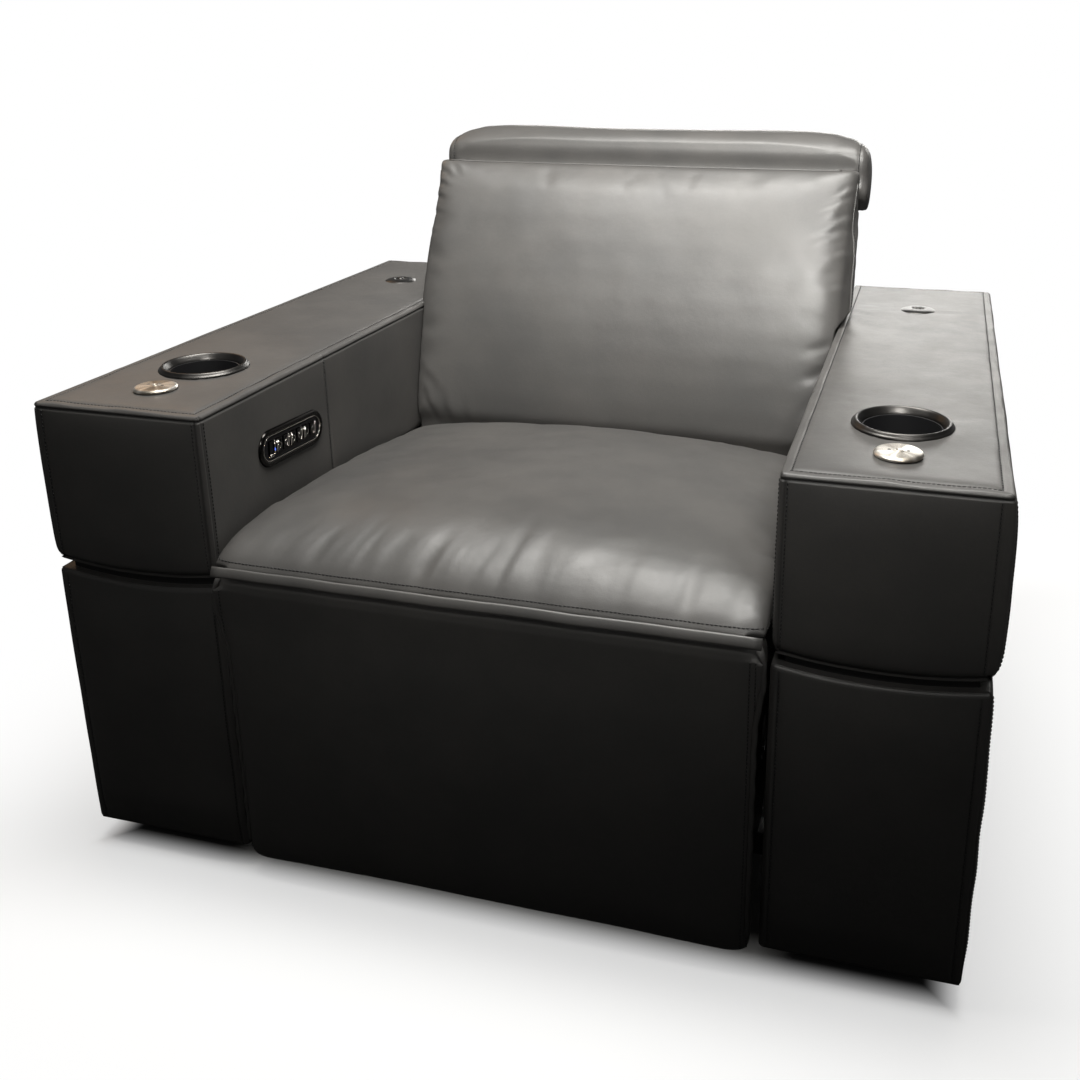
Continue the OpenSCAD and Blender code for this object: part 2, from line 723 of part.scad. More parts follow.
function seat_edge_z(y) =
  let (t = (y + roll_overhang) / roll_depth, rear = seat_rear_y + roll_overhang - roll_depth)
  t < 1 ? seam_height + roll_rise * sqrt(max(0, 1 - (1 - t) * (1 - t)))
        : seam_height + roll_rise - seat_fall * pow((y + roll_overhang - roll_depth) / rear, 1.6);
function seat_lift(x, y) =
  let (
    u = x / seat_half,
    t = (y + roll_overhang) / (seat_rear_y + roll_overhang),
    grown = min(1, seat_crown_start_share + t / seat_crown_full_share)
  )
  seat_crown * (1 - pow(abs(u), 2.2)) * pow(sin(90 * grown), 0.7);
function seat_loop(x) =
  let (
    fill = side_fill(x, seat_half),
    low = rail_top + spring_wire,
    inset = soft_edge * 0.6 * (1 - fill),
    under = seam_height + ease,
    start = roll_depth - roll_overhang,
    steps = 7,
    back_steps = 8
  )
  [
    for (i = [0 : steps]) let (a = 90 * i / steps, y = -roll_overhang + roll_depth * (1 - cos(a)))
      [x, y + inset * cos(a), max(under, seat_edge_z(y) + (seat_lift(x, y) - inset) * sin(a))],
    for (i = [1 : back_steps]) let (y = start + (seat_rear_y - start) * i / back_steps)
      [x, y - (i == back_steps ? inset : 0), seat_edge_z(y) + seat_lift(x, y) - inset],
    [x, seat_rear_y, (seam_height + low) / 2],
    [x, seat_rear_y - inset, low],
    [x, front_rail_y + rail_width, low],
    [x, front_rail_y - rail_width + inset, low],
    [x, front_rail_y - rail_width, under],
    [x, hinge_y, under]
  ];
module seat_cushion() color("#555552") seated()
  skin([for (i = [0 : soft_stations - 1]) seat_loop(station(i, seat_half))]);

// Power supply and motors

module power_supply() color("#1c1c1e") seated() difference() {
  translate([-supply[0] / 2, supply_front, tube_top]) cube(supply);
  translate([-inlet[0] / 2, supply_rear - inlet[1], tube_top + (supply[2] - inlet[2]) / 2])
    cube([inlet[0], inlet[1] + over, inlet[2]]);
}
module power_inlet() color("#050505") seated()
  translate([0, supply_rear - inlet[1], tube_top + supply[2] / 2]) {
    difference() {
      translate([-inlet[0] / 2, 0, -inlet[2] / 2]) cube(inlet);
      translate([inlet_wall - inlet[0] / 2, inlet_wall, inlet_wall - inlet[2] / 2])
        cube([inlet[0] - 2 * inlet_wall, inlet[1], inlet[2] - 2 * inlet_wall]);
    }
    for (side = [-1, 1]) translate([side * inlet[0] / 5, inlet_wall / 2, 0]) rotate([-90, 0, 0])
      cylinder(h = inlet[1] * 0.7, r = inlet_pin_r);
  }

// Gear motor on a drive tube, held by a torque arm that reaches the spring rail at rail_face
module tube_motor(p, rail_face, toward) color("#2b2b2d") seated() {
  size = 2 * (rail_top - foot_drive[1] - 2 * side_ease);
  reach = abs(rail_face - p[0]) - size / 2;
  difference() {
    union() {
      side_profile(-size * 0.6, size * 0.6) translate(p) round_rect(size, size, size * 0.2);
      arm_y = toward > 0 ? p[0] + size / 2 - over : p[0] - size / 2 - reach;
      translate([-size / 4, arm_y, rail_top - rail_height]) cube([size / 2, reach + over, drive_tube_d / 2]);
      translate([size * 0.25, p[0], p[1] - size * 1.7]) cylinder(h = size * 1.3, d = size * 0.62);
    }
    cross_bar(-size, size, p, drive_tube_d / 2 + ease);
  }
}
module footrest_motor() tube_motor(foot_drive, front_rail_y + rail_width, -1);
module recline_motor() tube_motor(recline_drive, rear_rail_y, 1);

// Footrest: padded panel that swings up about its nose

function pad_loop(x) =
  let (
    fill = side_fill(x, seat_half),
    inset = soft_edge * 0.5 * (1 - fill),
    r = nose_radius - inset,
    top = hinge_z,
    low = footrest_clear + inset,
    round_r = soft_edge,
    bends = 3,
    face = hinge_y - r,
    crown = footrest_crown * (1 - pow(abs(x) / seat_half, 2.5)),
    steps = 10
  )
  [
    for (p = arc([hinge_y, top], r, acos((board_front_y - hinge_y) / nose_radius), 180, 7)) [x, p[0], p[1]],
    for (i = [1 : steps]) let (t = i / steps)
      [x, face - crown * pow(sin(180 * min(1, t * 0.9)), 1.5), top - (top - low - round_r) * t],
    for (p = arc([face + round_r, low + round_r], round_r, 270 - 90 * bends / (bends + 1), 270, bends))
      [x, p[0], p[1]],
    [x, board_front_y, low]
  ];
// Pockets at the ends for the hinge ears, open to the rear and the top, and for the bolt heads
module footrest_slots() for (side = [0, 1]) mirror([side, 0, 0]) {
  along = [cos(footrest_swing), sin(footrest_swing)];
  across = [-sin(footrest_swing), cos(footrest_swing)];
  side_profile(hinge_plate_x - side_ease, side_plate_x + plate + side_ease) translate([hinge_y, hinge_z]) {
    circle(r = slot_r);
    polygon([
      slot_r * across, slot_r * across + nose_radius * 1.5 * along, nose_radius * [1.5, 1.5],
      [nose_radius * 1.5, -slot_r * 2.2], [0, -slot_r * 1.15], [-slot_r * 0.8, -slot_r * 0.6]
    ]);
  }
  cross_bar(hinge_plate_x - plate - 2 * side_ease, side_plate_x + 2 * plate + side_ease,
    [hinge_y, hinge_z], bolt_head_r + side_ease);
}
module footrest_pad() color("#3f3f3e") seated() difference() {
  skin([for (i = [0 : soft_stations - 1]) pad_loop(station(i, seat_half))]);
  footrest_slots();
}
module footrest_board_panel() color("burlywood") seated() {
  half = side_plate_x - side_ease;
  notch = nose_radius * 1.25;
  difference() {
    side_profile(-half, half) polygon([
      [board_front_y, footrest_clear + soft_edge], [board_back_y, footrest_clear + soft_edge],
      [board_back_y, hinge_z], [board_back_y - footrest_board / 2, hinge_z + nose_radius * 0.55],
      [board_front_y, hinge_z + nose_radius * 0.6]
    ]);
    for (side = [0, 1]) mirror([side, 0, 0])
      translate([hinge_plate_x - side_ease, board_front_y - over, hinge_z - notch])
        cube([half, footrest_board + 2 * over, notch * 3]);
  }
}
module footrest_frame() color("#3c3c3e") seated() {
  low = foot_pin[1] - link_width;
  high = foot_pin[1] + link_width;
  difference() {
    union() {
      translate([-hinge_plate_x - plate, board_back_y, low])
        cube([2 * (hinge_plate_x + plate), plate, high - low]);
      for (side = [0, 1]) mirror([side, 0, 0]) {
        side_profile(hinge_plate_x, hinge_plate_x + plate) {
          translate([hinge_y, hinge_z]) circle(d = link_width);
          polygon([
            [hinge_y, hinge_z - link_width / 2], [hinge_y + link_width * 0.4, hinge_z + link_width * 0.35],
            [board_back_y + link_width * 0.4, hinge_z - link_width * 0.9],
            [board_back_y + link_width * 0.4, low], [board_back_y, low],
            [board_back_y, hinge_z - nose_radius * 1.25]
          ]);
        }
        side_profile(bracket_x, bracket_x + plate) {
          translate(foot_pin) circle(d = link_width);
          polygon([
            [board_back_y, low], [foot_pin[0], foot_pin[1] - link_width / 2],
            [foot_pin[0], foot_pin[1] + link_width / 2], [board_back_y, high]
          ]);
        }
        cross_bar(bracket_x, link_x + plate, foot_pin, pin_d / 2);
      }
    }
    for (side = [0, 1]) mirror([side, 0, 0])
      cross_bar(hinge_plate_x - over, hinge_plate_x + plate + over, [hinge_y, hinge_z], pin_d / 2 + run);
  }
}

// Cross tube with a crank at each side; the crank pins carry the push links
module drive_tube(p, pin) color("#7d7d80") seated() {
  difference() {
    union() {
      cross_bar(-side_plate_x + side_ease, side_plate_x - side_ease, p, drive_tube_d / 2);
      for (side = [0, 1]) mirror([side, 0, 0]) {
        side_profile(crank_x, crank_x + plate) bar(p, pin, link_width);
        cross_bar(link_x, crank_x, pin, pin_d / 2);
        cross_bar(side_plate_x - 2 * side_ease, side_plate_x + plate, p, journal_r);
      }
    }
    cross_bar(-seat_gap, seat_gap, p, journal_r - tube_wall);
  }
}
module footrest_drive_tube() drive_tube(foot_drive, foot_crank);
module recline_drive_tube() drive_tube(recline_drive, recline_crank);

module push_link(p, q) color("#9a9a9c") seated() difference() {
  side_profile(link_x, link_x + plate) bar(p, q, link_width);
  cross_bar(link_x - over, link_x + plate + over, p, pin_d / 2 + run);
  cross_bar(link_x - over, link_x + plate + over, q, pin_d / 2 + open_run);
}
module left_footrest_link() left_side() push_link(foot_crank, foot_pin);
module right_footrest_link() push_link(foot_crank, foot_pin);
module left_recline_link() left_side() push_link(recline_crank, recline_pin);
module right_recline_link() push_link(recline_crank, recline_pin);

// Back, drawn in its own tilted frame

module back_frame() color("burlywood") on_back() difference() {
  union() {
    translate([-frame_half, frame_front + frame_thick / 2, 0])
      cube([2 * frame_half, frame_thick / 2, back_frame_top]);
    for (side = [0, 1]) mirror([side, 0, 0]) {
      translate([frame_half - frame_thick, frame_front, 0])
        cube([frame_thick, frame_thick, back_frame_top]);
      side_profile(hinge_plate_x, hinge_plate_x + plate) {
        translate(pivot_local) circle(d = link_width * 1.4);
        polygon([
          pivot_local + [-link_width * 0.7, 0], [frame_front + ease, -ease],
          [frame_front + ease, frame_thick], [frame_rear, frame_thick], pivot_local + [link_width * 0.7, 0]
        ]);
      }
      side_profile(bracket_x, bracket_x + plate) {
        bar(recline_pin_local, elbow_local, link_width);
        bar(elbow_local, [elbow_local[0], frame_thick], link_width);
      }
      cross_bar(bracket_x, link_x + plate, recline_pin_local, pin_d / 2);
      translate([post_x - sleeve_half, head_axis[0] - sleeve_half, sleeve_foot])
        cube([2 * sleeve_half, 2 * sleeve_half, sleeve_length]);
    }
    for (z = [0, lumbar_mid - frame_thick / 2])
      translate([-frame_half, frame_front, z]) cube([2 * frame_half, frame_thick, frame_thick]);
  }
  for (side = [-1, 1]) translate([side * post_x, head_axis[0], post_foot - side_ease])
    cylinder(h = head_top, d = post_d + 2 * run);
  for (side = [0, 1]) mirror([side, 0, 0])
    cross_bar(hinge_plate_x - over, hinge_plate_x + plate + over, pivot_local, pin_d / 2 + run);
  translate([0, frame_front - over, lumbar_mid]) rotate([-90, 0, 0])
    cylinder(h = frame_thick + 2 * over, r = lumbar_stem_r + run);
}

module back_shell() color("#2e2e2e") on_back() {
  high = head_foot - foot_chamfer * 2;
  difference() {
    translate([0, shell_rear, (high + shell_low) / 2]) rotate([90, 0, 0])
      linear_extrude(shell_thick) round_rect(2 * shell_half, high - shell_low, shell_thick);
    translate([0, frame_rear - over, lumbar_mid]) rotate([-90, 0, 0])
      cylinder(h = lumbar_pocket + over, r = lumbar_stem_r * 3);
  }
}

// Cushion widens a little towards its top, above the arms
function back_half(z) = seat_half + back_flare * pow(max(0, (z / back_length - 0.72) / 0.28), 2);
function back_loop(u) =
  let (
    fill = side_fill(u * seat_half, seat_half),
    inset = soft_edge * (1 - fill),
    steps = 10,
    bends = 2,
    round_r = soft_edge,
    strip = head_setback - 2 * ease,
    wide = 1 - pow(abs(u), 2.4)
  )
  [
    [u * back_half(0), tuck_front + inset, -tuck],
    [u * back_half(0), tuck_front - ease, -ease],
    for (i = [0 : steps]) let (t = i / steps, z = round_r + (back_length - 2 * round_r) * t)
      [u * back_half(z), inset - (back_bulge + back_crown * wide) * pow(sin(180 * t), 0.8), z],
    for (p = arc([round_r + inset, back_length - round_r], round_r, 90 + 90 * bends / (bends + 1), 90, bends))
      [u * back_half(p[1]), p[0], p[1]],
    [u * back_half(back_length), strip - round_r / 2, back_length - inset],
    [u * back_half(back_length), strip, back_length - inset - round_r / 2],
    [u * back_half(back_length), strip, head_foot - ease * 4],
    [u * back_half(back_length), back_thick, head_foot - ease * 4],
    [u * back_half(back_length / 2), back_thick, back_length / 2],
    [u * back_half(0), back_thick, 0],
    [u * back_half(0), back_thick - tuck * 0.6, -tuck * 0.7],
    [u * back_half(0), tuck_front + tuck * 0.5, -tuck]
  ];
module back_cushion() color("#5b5b58") on_back() difference() {
  skin([for (i = [0 : soft_stations - 1]) back_loop(station(i, 1))]);
  translate([-lumbar_half - lumbar_clear, back_thick - lumbar_recess, lumbar_low - lumbar_clear])
    cube([
      2 * (lumbar_half + lumbar_clear), lumbar_recess + over, lumbar_high - lumbar_low + 2 * lumbar_clear
    ]);
}

module lumbar_plate() color("#6f6f72") on_back() {
  y = frame_front - lumbar_plate_thick - side_ease;
  translate([-lumbar_half, y, lumbar_low])
    cube([2 * lumbar_half, lumbar_plate_thick, lumbar_high - lumbar_low]);
  translate([0, y, lumbar_mid]) rotate([-90, 0, 0])
    cylinder(h = frame_rear + lumbar_pocket - side_ease - y, r = lumbar_stem_r);
}
module lumbar_motor() color("#2b2b2d") on_back()
  translate([lumbar_stem_r * 2, frame_front, lumbar_mid + frame_thick / 2])
    cube([link_width * 3, frame_thick / 2, link_width * 1.6]);

module headrest_motor() color("#2b2b2d") on_back()
  translate([-link_width * 2, frame_front, sleeve_foot])
    cube([link_width * 4, frame_thick / 2, link_width * 1.8]);

module headrest_posts() color("#b8b8bc") on_back() {
  for (side = [-1, 1]) translate([side * post_x, head_axis[0], post_foot])
    cylinder(h = head_axis[1] - post_foot, d = post_d);
  cross_bar(-post_x - post_d, post_x + post_d, head_axis, head_hinge_r);
}

// Plate inside the headrest, with knuckles on the posts' cross bar
module headrest_plate() color("#6f6f72") on_back() difference() {
  union() {
    translate([-head_plate_half, head_axis[0] - head_plate_thick / 2, head_axis[1] + knuckle_r])
      cube([2 * head_plate_half, head_plate_thick, head_plate_height]);
    for (x = [-post_x * 0.62, 0, post_x * 0.62]) translate([x - link_width, 0, 0]) {
      side_profile(0, 2 * link_width) translate(head_axis) circle(r = knuckle_r);
      translate([0, head_axis[0] - head_plate_thick / 2, head_axis[1]])
        cube([2 * link_width, head_plate_thick, knuckle_r * 1.5]);
    }
  }
  cross_bar(-seat_gap, seat_gap, head_axis, head_hinge_r + run);
}

function head_loop(x) =
  let (
    half = head_width / 2,
    fill = side_fill(x, half),
    inset = soft_edge * 0.8 * (1 - fill),
    t = max(0, (abs(x) - half + head_shoulder) / head_shoulder),
    top = head_top - head_shoulder_drop * (1 - sqrt(max(0, 1 - t * t))),
    low = head_foot + ease * 2,
    front = head_setback + inset,
    rear = head_setback + head_thick - inset,
    r = head_roll - inset,
    under = head_under_r - inset
  )
  [
    for (p = arc([front + under, low + under], under, 270, 180, 4)) [x, p[0], p[1]],
    for (p = arc([front + r, top - r], r, 180, 90, 6)) [x, p[0], p[1]],
    for (p = arc([rear - r * 0.7, top - r * 0.7], r * 0.7, 90, 0, 4)) [x, p[0], p[1]],
    [x, rear, low + soft_edge],
    [x, rear - soft_edge * 0.3, low + soft_edge * 0.3],
    [x, rear - soft_edge, low]
  ];
module headrest_pad() color("#5b5b58") on_back() difference() {
  skin([for (i = [0 : soft_stations - 1]) head_loop(station(i, head_width / 2))]);
  translate([-head_plate_half, head_axis[0] - head_plate_thick / 2, 0])
    cube([2 * head_plate_half, head_plate_thick, head_axis[1] + knuckle_r + head_plate_height]);
}

// Bolts of the footrest hinge and the recline pivot, both sides
module pivot_bolt(p) {
  cross_bar(hinge_plate_x - side_ease, side_plate_x + plate, p, pin_d / 2);
  cross_bar(hinge_plate_x - side_ease - plate, hinge_plate_x - side_ease, p, bolt_head_r);
  cross_bar(side_plate_x + plate, side_plate_x + 2 * plate, p, bolt_head_r);
}
module hinge_bolts() color("silver") seated() for (side = [0, 1]) mirror([side, 0, 0])
  for (p = [[hinge_y, hinge_z], recline_pivot]) pivot_bolt(p);

left_arm_frame();
right_arm_frame();
left_upper_arm_cover();
right_upper_arm_cover();
left_lower_arm_cover();
right_lower_arm_cover();
left_arm_feet();
right_arm_feet();
left_cup_ring();
right_cup_ring();
left_cup_liner();
right_cup_liner();
left_front_dock_cap();
right_front_dock_cap();
left_front_dock_socket();
right_front_dock_socket();
left_rear_dock();
right_rear_dock();
control_bezel();
control_plate();
control_housing();
control_board();
key_power();
key_recline();
key_upright();
key_headrest_up();
key_headrest_down();
key_lumbar_out();
key_lumbar_in();
front_cross_tube();
rear_cross_tube();
left_side_plate();
right_side_plate();
front_spring_rail();
rear_spring_rail();
seat_springs();
seat_cushion();
power_supply();
power_inlet();
footrest_motor();
recline_motor();
footrest_pad();
footrest_board_panel();
footrest_frame();
footrest_drive_tube();
left_footrest_link();
right_footrest_link();
back_frame();
back_shell();
back_cushion();
lumbar_motor();
lumbar_plate();
recline_drive_tube();
left_recline_link();
right_recline_link();
headrest_motor();
headrest_posts();
headrest_plate();
headrest_pad();
hinge_bolts();
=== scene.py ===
"""Cinema recliner seat: the visible pieces, their materials, the camera and the light.

Lengths are in millimetres, in the frame of the arm's front (x across, y rearwards from the arm's front,
z up). They are turned into metres of the shared frame when a piece is finished.
"""

import json
import logging
import math
from dataclasses import dataclass
from enum import Enum
from typing import Any, Callable, Iterable, Mapping, Sequence

import bmesh
import bpy
from mathutils import Matrix, Vector, noise
from mathutils.bvhtree import BVHTree


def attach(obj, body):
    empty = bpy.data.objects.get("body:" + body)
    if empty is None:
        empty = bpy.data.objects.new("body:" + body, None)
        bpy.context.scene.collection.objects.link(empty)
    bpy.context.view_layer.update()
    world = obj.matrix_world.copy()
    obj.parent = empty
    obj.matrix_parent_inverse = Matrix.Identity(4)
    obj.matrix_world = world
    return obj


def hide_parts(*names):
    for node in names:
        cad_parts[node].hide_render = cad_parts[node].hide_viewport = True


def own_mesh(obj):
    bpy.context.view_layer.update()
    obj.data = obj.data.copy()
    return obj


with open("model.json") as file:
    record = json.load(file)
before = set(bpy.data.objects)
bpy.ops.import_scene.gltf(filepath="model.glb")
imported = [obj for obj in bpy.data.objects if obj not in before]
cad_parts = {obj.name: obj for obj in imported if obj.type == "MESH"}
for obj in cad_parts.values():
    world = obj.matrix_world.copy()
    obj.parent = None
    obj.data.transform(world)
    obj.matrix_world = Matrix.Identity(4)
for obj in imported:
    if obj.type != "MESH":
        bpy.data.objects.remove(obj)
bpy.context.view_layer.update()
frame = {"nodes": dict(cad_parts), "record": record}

FRONT = 447.5
Sculptor = Callable[[Vector, Vector], Vector]
Row = list[tuple[Vector, Vector]]

log = logging.getLogger("recliner")


class Side(Enum):
    """The two arms, by the sign of their x."""

    LEFT = -1
    RIGHT = 1

    @property
    def word(self) -> str:
        """The side's name as the CAD nodes use it."""
        return self.name.lower()


class Slot(Enum):
    """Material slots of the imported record."""

    LEATHER = "leather"
    CHROME = "dark_chrome"
    STEEL = "brushed_steel"
    DOCK = "dock_metal"
    GLOSS = "gloss_black"
    KEY = "key_metal"


def metres(place: Vector) -> Vector:
    """Turns a place in millimetres of the arm's front into metres of the shared frame."""
    return Vector((place.x, place.y - FRONT, place.z)) * 0.001


def millimetres(place: Vector) -> Vector:
    """Turns a place in metres of the shared frame into millimetres of the arm's front."""
    return Vector((place.x * 1000, place.y * 1000 + FRONT, place.z * 1000))


def ramp(value: float, low: float, high: float) -> float:
    """Smooth step from 0 at low to 1 at high."""
    t = min(1.0, max(0.0, (value - low) / (high - low)))
    return t * t * (3 - 2 * t)


def hill(value: float, width: float) -> float:
    """Bell curve, 1 at 0, of the given half-width."""
    return math.exp(-((value / width) ** 2))


# Materials


class Value:
    """A shader value whose operators add Math nodes to its graph."""

    def __init__(self, graph: "Graph", socket: bpy.types.NodeSocket) -> None:
        """Wraps an output socket of a graph."""
        self.graph = graph
        self.socket = socket

    def math(self, operation: str, *others: Any, clamp: bool = False) -> "Value":
        """Adds a Math node.

        Args:
            operation: the Math node's operation.
            others: the second and third inputs, values or numbers.
            clamp: whether the result is kept between 0 and 1.

        Returns:
            The node's result.
        """
        inputs = {0: self, **{i + 1: other for i, other in enumerate(others)}}
        node = self.graph.node("ShaderNodeMath", {"operation": operation, "use_clamp": clamp}, inputs)
        return Value(self.graph, node.outputs[0])

    def __add__(self, other: Any) -> "Value":
        """Sum."""
        return self.math("ADD", other)

    __radd__ = __add__

    def __mul__(self, other: Any) -> "Value":
        """Product."""
        return self.math("MULTIPLY", other)

    __rmul__ = __mul__

    def __sub__(self, other: Any) -> "Value":
        """Difference."""
        return self.math("SUBTRACT", other)

    def __rsub__(self, other: Any) -> "Value":
        """Difference, with this value taken away."""
        return self.math("MULTIPLY", -1.0) + other

    def __truediv__(self, other: Any) -> "Value":
        """Quotient."""
        return self.math("DIVIDE", other)

    def __pow__(self, other: Any) -> "Value":
        """Power."""
        return self.math("POWER", other)

    def sine(self) -> "Value":
        """Sine."""
        return self.math("SINE")

    def between(self, low: float, high: float) -> "Value":
        """Smooth step from 0 at low to 1 at high."""
        settings = {"interpolation_type": "SMOOTHSTEP"}
        node = self.graph.node("ShaderNodeMapRange", settings, {"Value": self, "From Min": low, "From Max": high})
        return Value(self.graph, node.outputs[0])


class Graph:
    """The node tree of one material, built from a Principled shader."""

    def __init__(self, name: str) -> None:
        """Starts an empty material of that name."""
        self.material = bpy.data.materials.new(name)
        self.material.use_nodes = True
        self.tree = self.material.node_tree
        self.tree.nodes.clear()

    def node(self, kind: str, settings: Mapping[str, Any] = {}, inputs: Mapping[Any, Any] = {}) -> bpy.types.Node:
        """Adds a node.

        Args:
            kind: the node's type.
            settings: its properties.
            inputs: its input sockets by name or number, each a value, a socket, a number or a tuple.

        Returns:
            The new node.
        """
        made = self.tree.nodes.new(kind)
        for key, value in settings.items():
            setattr(made, key, value)
        for key, value in inputs.items():
            if isinstance(value, Value):
                value = value.socket
            if isinstance(value, bpy.types.NodeSocket):
                self.tree.links.new(value, made.inputs[key])
            else:
                made.inputs[key].default_value = value
        return made

    def place(self) -> bpy.types.NodeSocket:
        """The object coordinates."""
        return self.node("ShaderNodeTexCoord").outputs["Object"]

    def noise(self, scale: float, detail: float = 3, rough: float = 0.5, place: Any = None) -> Value:
        """Noise of that many cells a metre, from 0 to 1."""
        inputs = {"Vector": place or self.place(), "Scale": scale, "Detail": detail, "Roughness": rough}
        return Value(self, self.node("ShaderNodeTexNoise", {}, inputs).outputs["Fac"])

    def cells(self, scale: float, feature: str = "F1") -> Value:
        """Distance to the nearest cell centre or edge, with that many cells a metre."""
        inputs = {"Vector": self.place(), "Scale": scale}
        return Value(self, self.node("ShaderNodeTexVoronoi", {"feature": feature}, inputs).outputs["Distance"])

    def attribute(self, name: str) -> Value:
        """A number painted on the piece's vertices."""
        return Value(self, self.node("ShaderNodeAttribute", {"attribute_name": name}).outputs["Fac"])

    def blend(self, factor: Any, low: Any, high: Any) -> bpy.types.NodeSocket:
        """Colour between two colours, by factor."""
        settings = {"data_type": "RGBA", "clamp_factor": True}
        return self.node("ShaderNodeMix", settings, {0: factor, 6: low, 7: high}).outputs[2]

    def bump(self, height: Value, distance: float, strength: float = 1.0, over: Any = None) -> bpy.types.NodeSocket:
        """Normal of a height field, its full height in metres, laid over another normal."""
        inputs = {"Height": height, "Distance": distance, "Strength": strength}
        if over is not None:
            inputs["Normal"] = over
        return self.node("ShaderNodeBump", {}, inputs).outputs["Normal"]

    def surface(self, inputs: Mapping[str, Any]) -> bpy.types.Material:
        """Ends the graph in a Principled shader with these inputs and returns the material."""
        shader = self.node("ShaderNodeBsdfPrincipled", {}, inputs)
        self.node("ShaderNodeOutputMaterial", {}, {"Surface": shader.outputs[0]})
        return self.material


def tint(level: float, warmth: float = 0.0) -> tuple[float, float, float, float]:
    """A near-neutral colour of that linear level, warmer or cooler by a share."""
    return (level * (1 + warmth), level, level * (1 - warmth), 1.0)


@dataclass(frozen=True)
class Leather:
    """Smooth charcoal upholstery leather with a fine grain, a soft sheen, and seams painted dark: needle holes and
    thread, with painted shade in the seam grooves.
    """

    name: str = "leather"
    level: float = 0.048
    roughness: float = 0.46
    grain: float = 0.00010

    def material(self) -> bpy.types.Material:
        """Builds the material: mottled colour, grain and creases in the normal, and seams painted dark, partly needle
        holes and partly painted shade in their grooves.
        """
        graph = Graph(self.name)
        cloud = graph.noise(9, 4, 0.6)
        speck = graph.noise(340, 2, 0.6)
        seam = graph.attribute("seam")
        mottle = (cloud * 0.75 + speck * 0.25).between(0.3, 0.72)
        colour = graph.blend(mottle, tint(self.level * 0.86, 0.03), tint(self.level * 1.14, 0.05))
        # The seam attribute paints the leather near-black along the seams: partly needle holes and thread, partly
        # painted shade in the seam grooves.
        colour = graph.blend(seam, colour, tint(self.level * 0.1))
        rough = (graph.noise(26, 3, 0.6) - 0.5) * 0.16 + (speck - 0.5) * 0.08 + self.roughness
        pores = graph.cells(760).between(0.05, 0.55)
        fine = pores * 0.7 + graph.noise(1500, 2, 0.7) * 0.3
        crease = graph.noise(60, 5, 0.62)
        normal = graph.bump(crease, 0.0012, 0.22)
        normal = graph.bump(fine, self.grain, 0.5, normal)
        return graph.surface({
            "Base Color": colour, "Roughness": rough + seam * 0.3, "Normal": normal,
            "Specular IOR Level": 0.5,
        })


@dataclass(frozen=True)
class Thread:
    """Dark bonded sewing thread, twisted."""

    name: str = "thread"
    level: float = 0.003

    def material(self) -> bpy.types.Material:
        """Builds the material: near-black with the twist in colour and normal."""
        graph = Graph(self.name)
        twist = (graph.noise(1800, 2, 0.5) * 9).sine() * 0.5 + 0.5
        colour = graph.blend(twist, tint(self.level * 0.7), tint(self.level * 1.8, 0.02))
        return graph.surface({"Base Color": colour, "Roughness": 0.5, "Normal": graph.bump(twist, 0.0001, 0.4)})


@dataclass(frozen=True)
class Metal:
    """A metal finish: its level, roughness and the depth of its fine marks."""

    name: str
    level: float
    warmth: float = 0.0
    roughness: float = 0.3
    marks: float = 0.00002
    scale: float = 240
    coat: float = 0.0

    def material(self) -> bpy.types.Material:
        """Builds the material: colour and roughness vary in fine marks."""
        graph = Graph(self.name)
        mark = graph.noise(self.scale, 4, 0.6)
        cloud = graph.noise(18, 2)
        colour = graph.blend(mark, tint(self.level * 0.8, self.warmth), tint(self.level * 1.15, self.warmth))
        rough = (mark - 0.5) * 0.2 + (cloud - 0.5) * 0.1 + self.roughness
        return graph.surface({
            "Base Color": colour, "Metallic": 1.0, "Roughness": rough, "Coat Weight": self.coat,
            "Normal": graph.bump(mark, self.marks, 0.5),
        })


@dataclass(frozen=True)
class TurnedSteel:
    """Bright steel turned on a lathe: rings round a centre, in metres of the shared frame."""

    name: str
    centre: tuple[float, float]

    def material(self) -> bpy.types.Material:
        """Builds the material: fine rings in normal and roughness about the centre, and painted highlight streaks in
        the colour by angle round it, light and dark wedges that stand in for the reflections of turned metal.
        """
        graph = Graph(self.name)
        settings = {"vector_type": "POINT"}
        inputs = {"Vector": graph.place(), "Location": (-self.centre[0], -self.centre[1], 0)}
        moved = graph.node("ShaderNodeMapping", settings, inputs).outputs[0]
        parts = graph.node("ShaderNodeSeparateXYZ", {}, {0: moved}).outputs
        x, y = Value(graph, parts[0]), Value(graph, parts[1])
        radius = (x * x + y * y) ** 0.5
        rings = (radius * 15000).sine() * 0.5 + (radius * 6100).sine() * 0.3 + 0.5
        # Painted highlight: the colour runs light and dark in wedges by angle round the centre, standing in for the
        # reflections of turned metal.
        angle = y.math("ARCTAN2", x)
        painted_highlight_streak = (angle * 2 + 0.5).sine() * 0.5 + (angle * 7 + 1.3).sine() * 0.22 + (angle * 13).sine() * 0.12
        share = (painted_highlight_streak * 0.7 + rings * 0.15 + 0.4).between(0.05, 1.0)
        colour = graph.blend(share, (0.24, 0.215, 0.18, 1), (0.86, 0.82, 0.75, 1))
        return graph.surface({
            "Base Color": colour, "Metallic": 1.0, "Roughness": rings * 0.1 + 0.3,
            "Normal": graph.bump(rings, 0.00004, 0.8),
        })


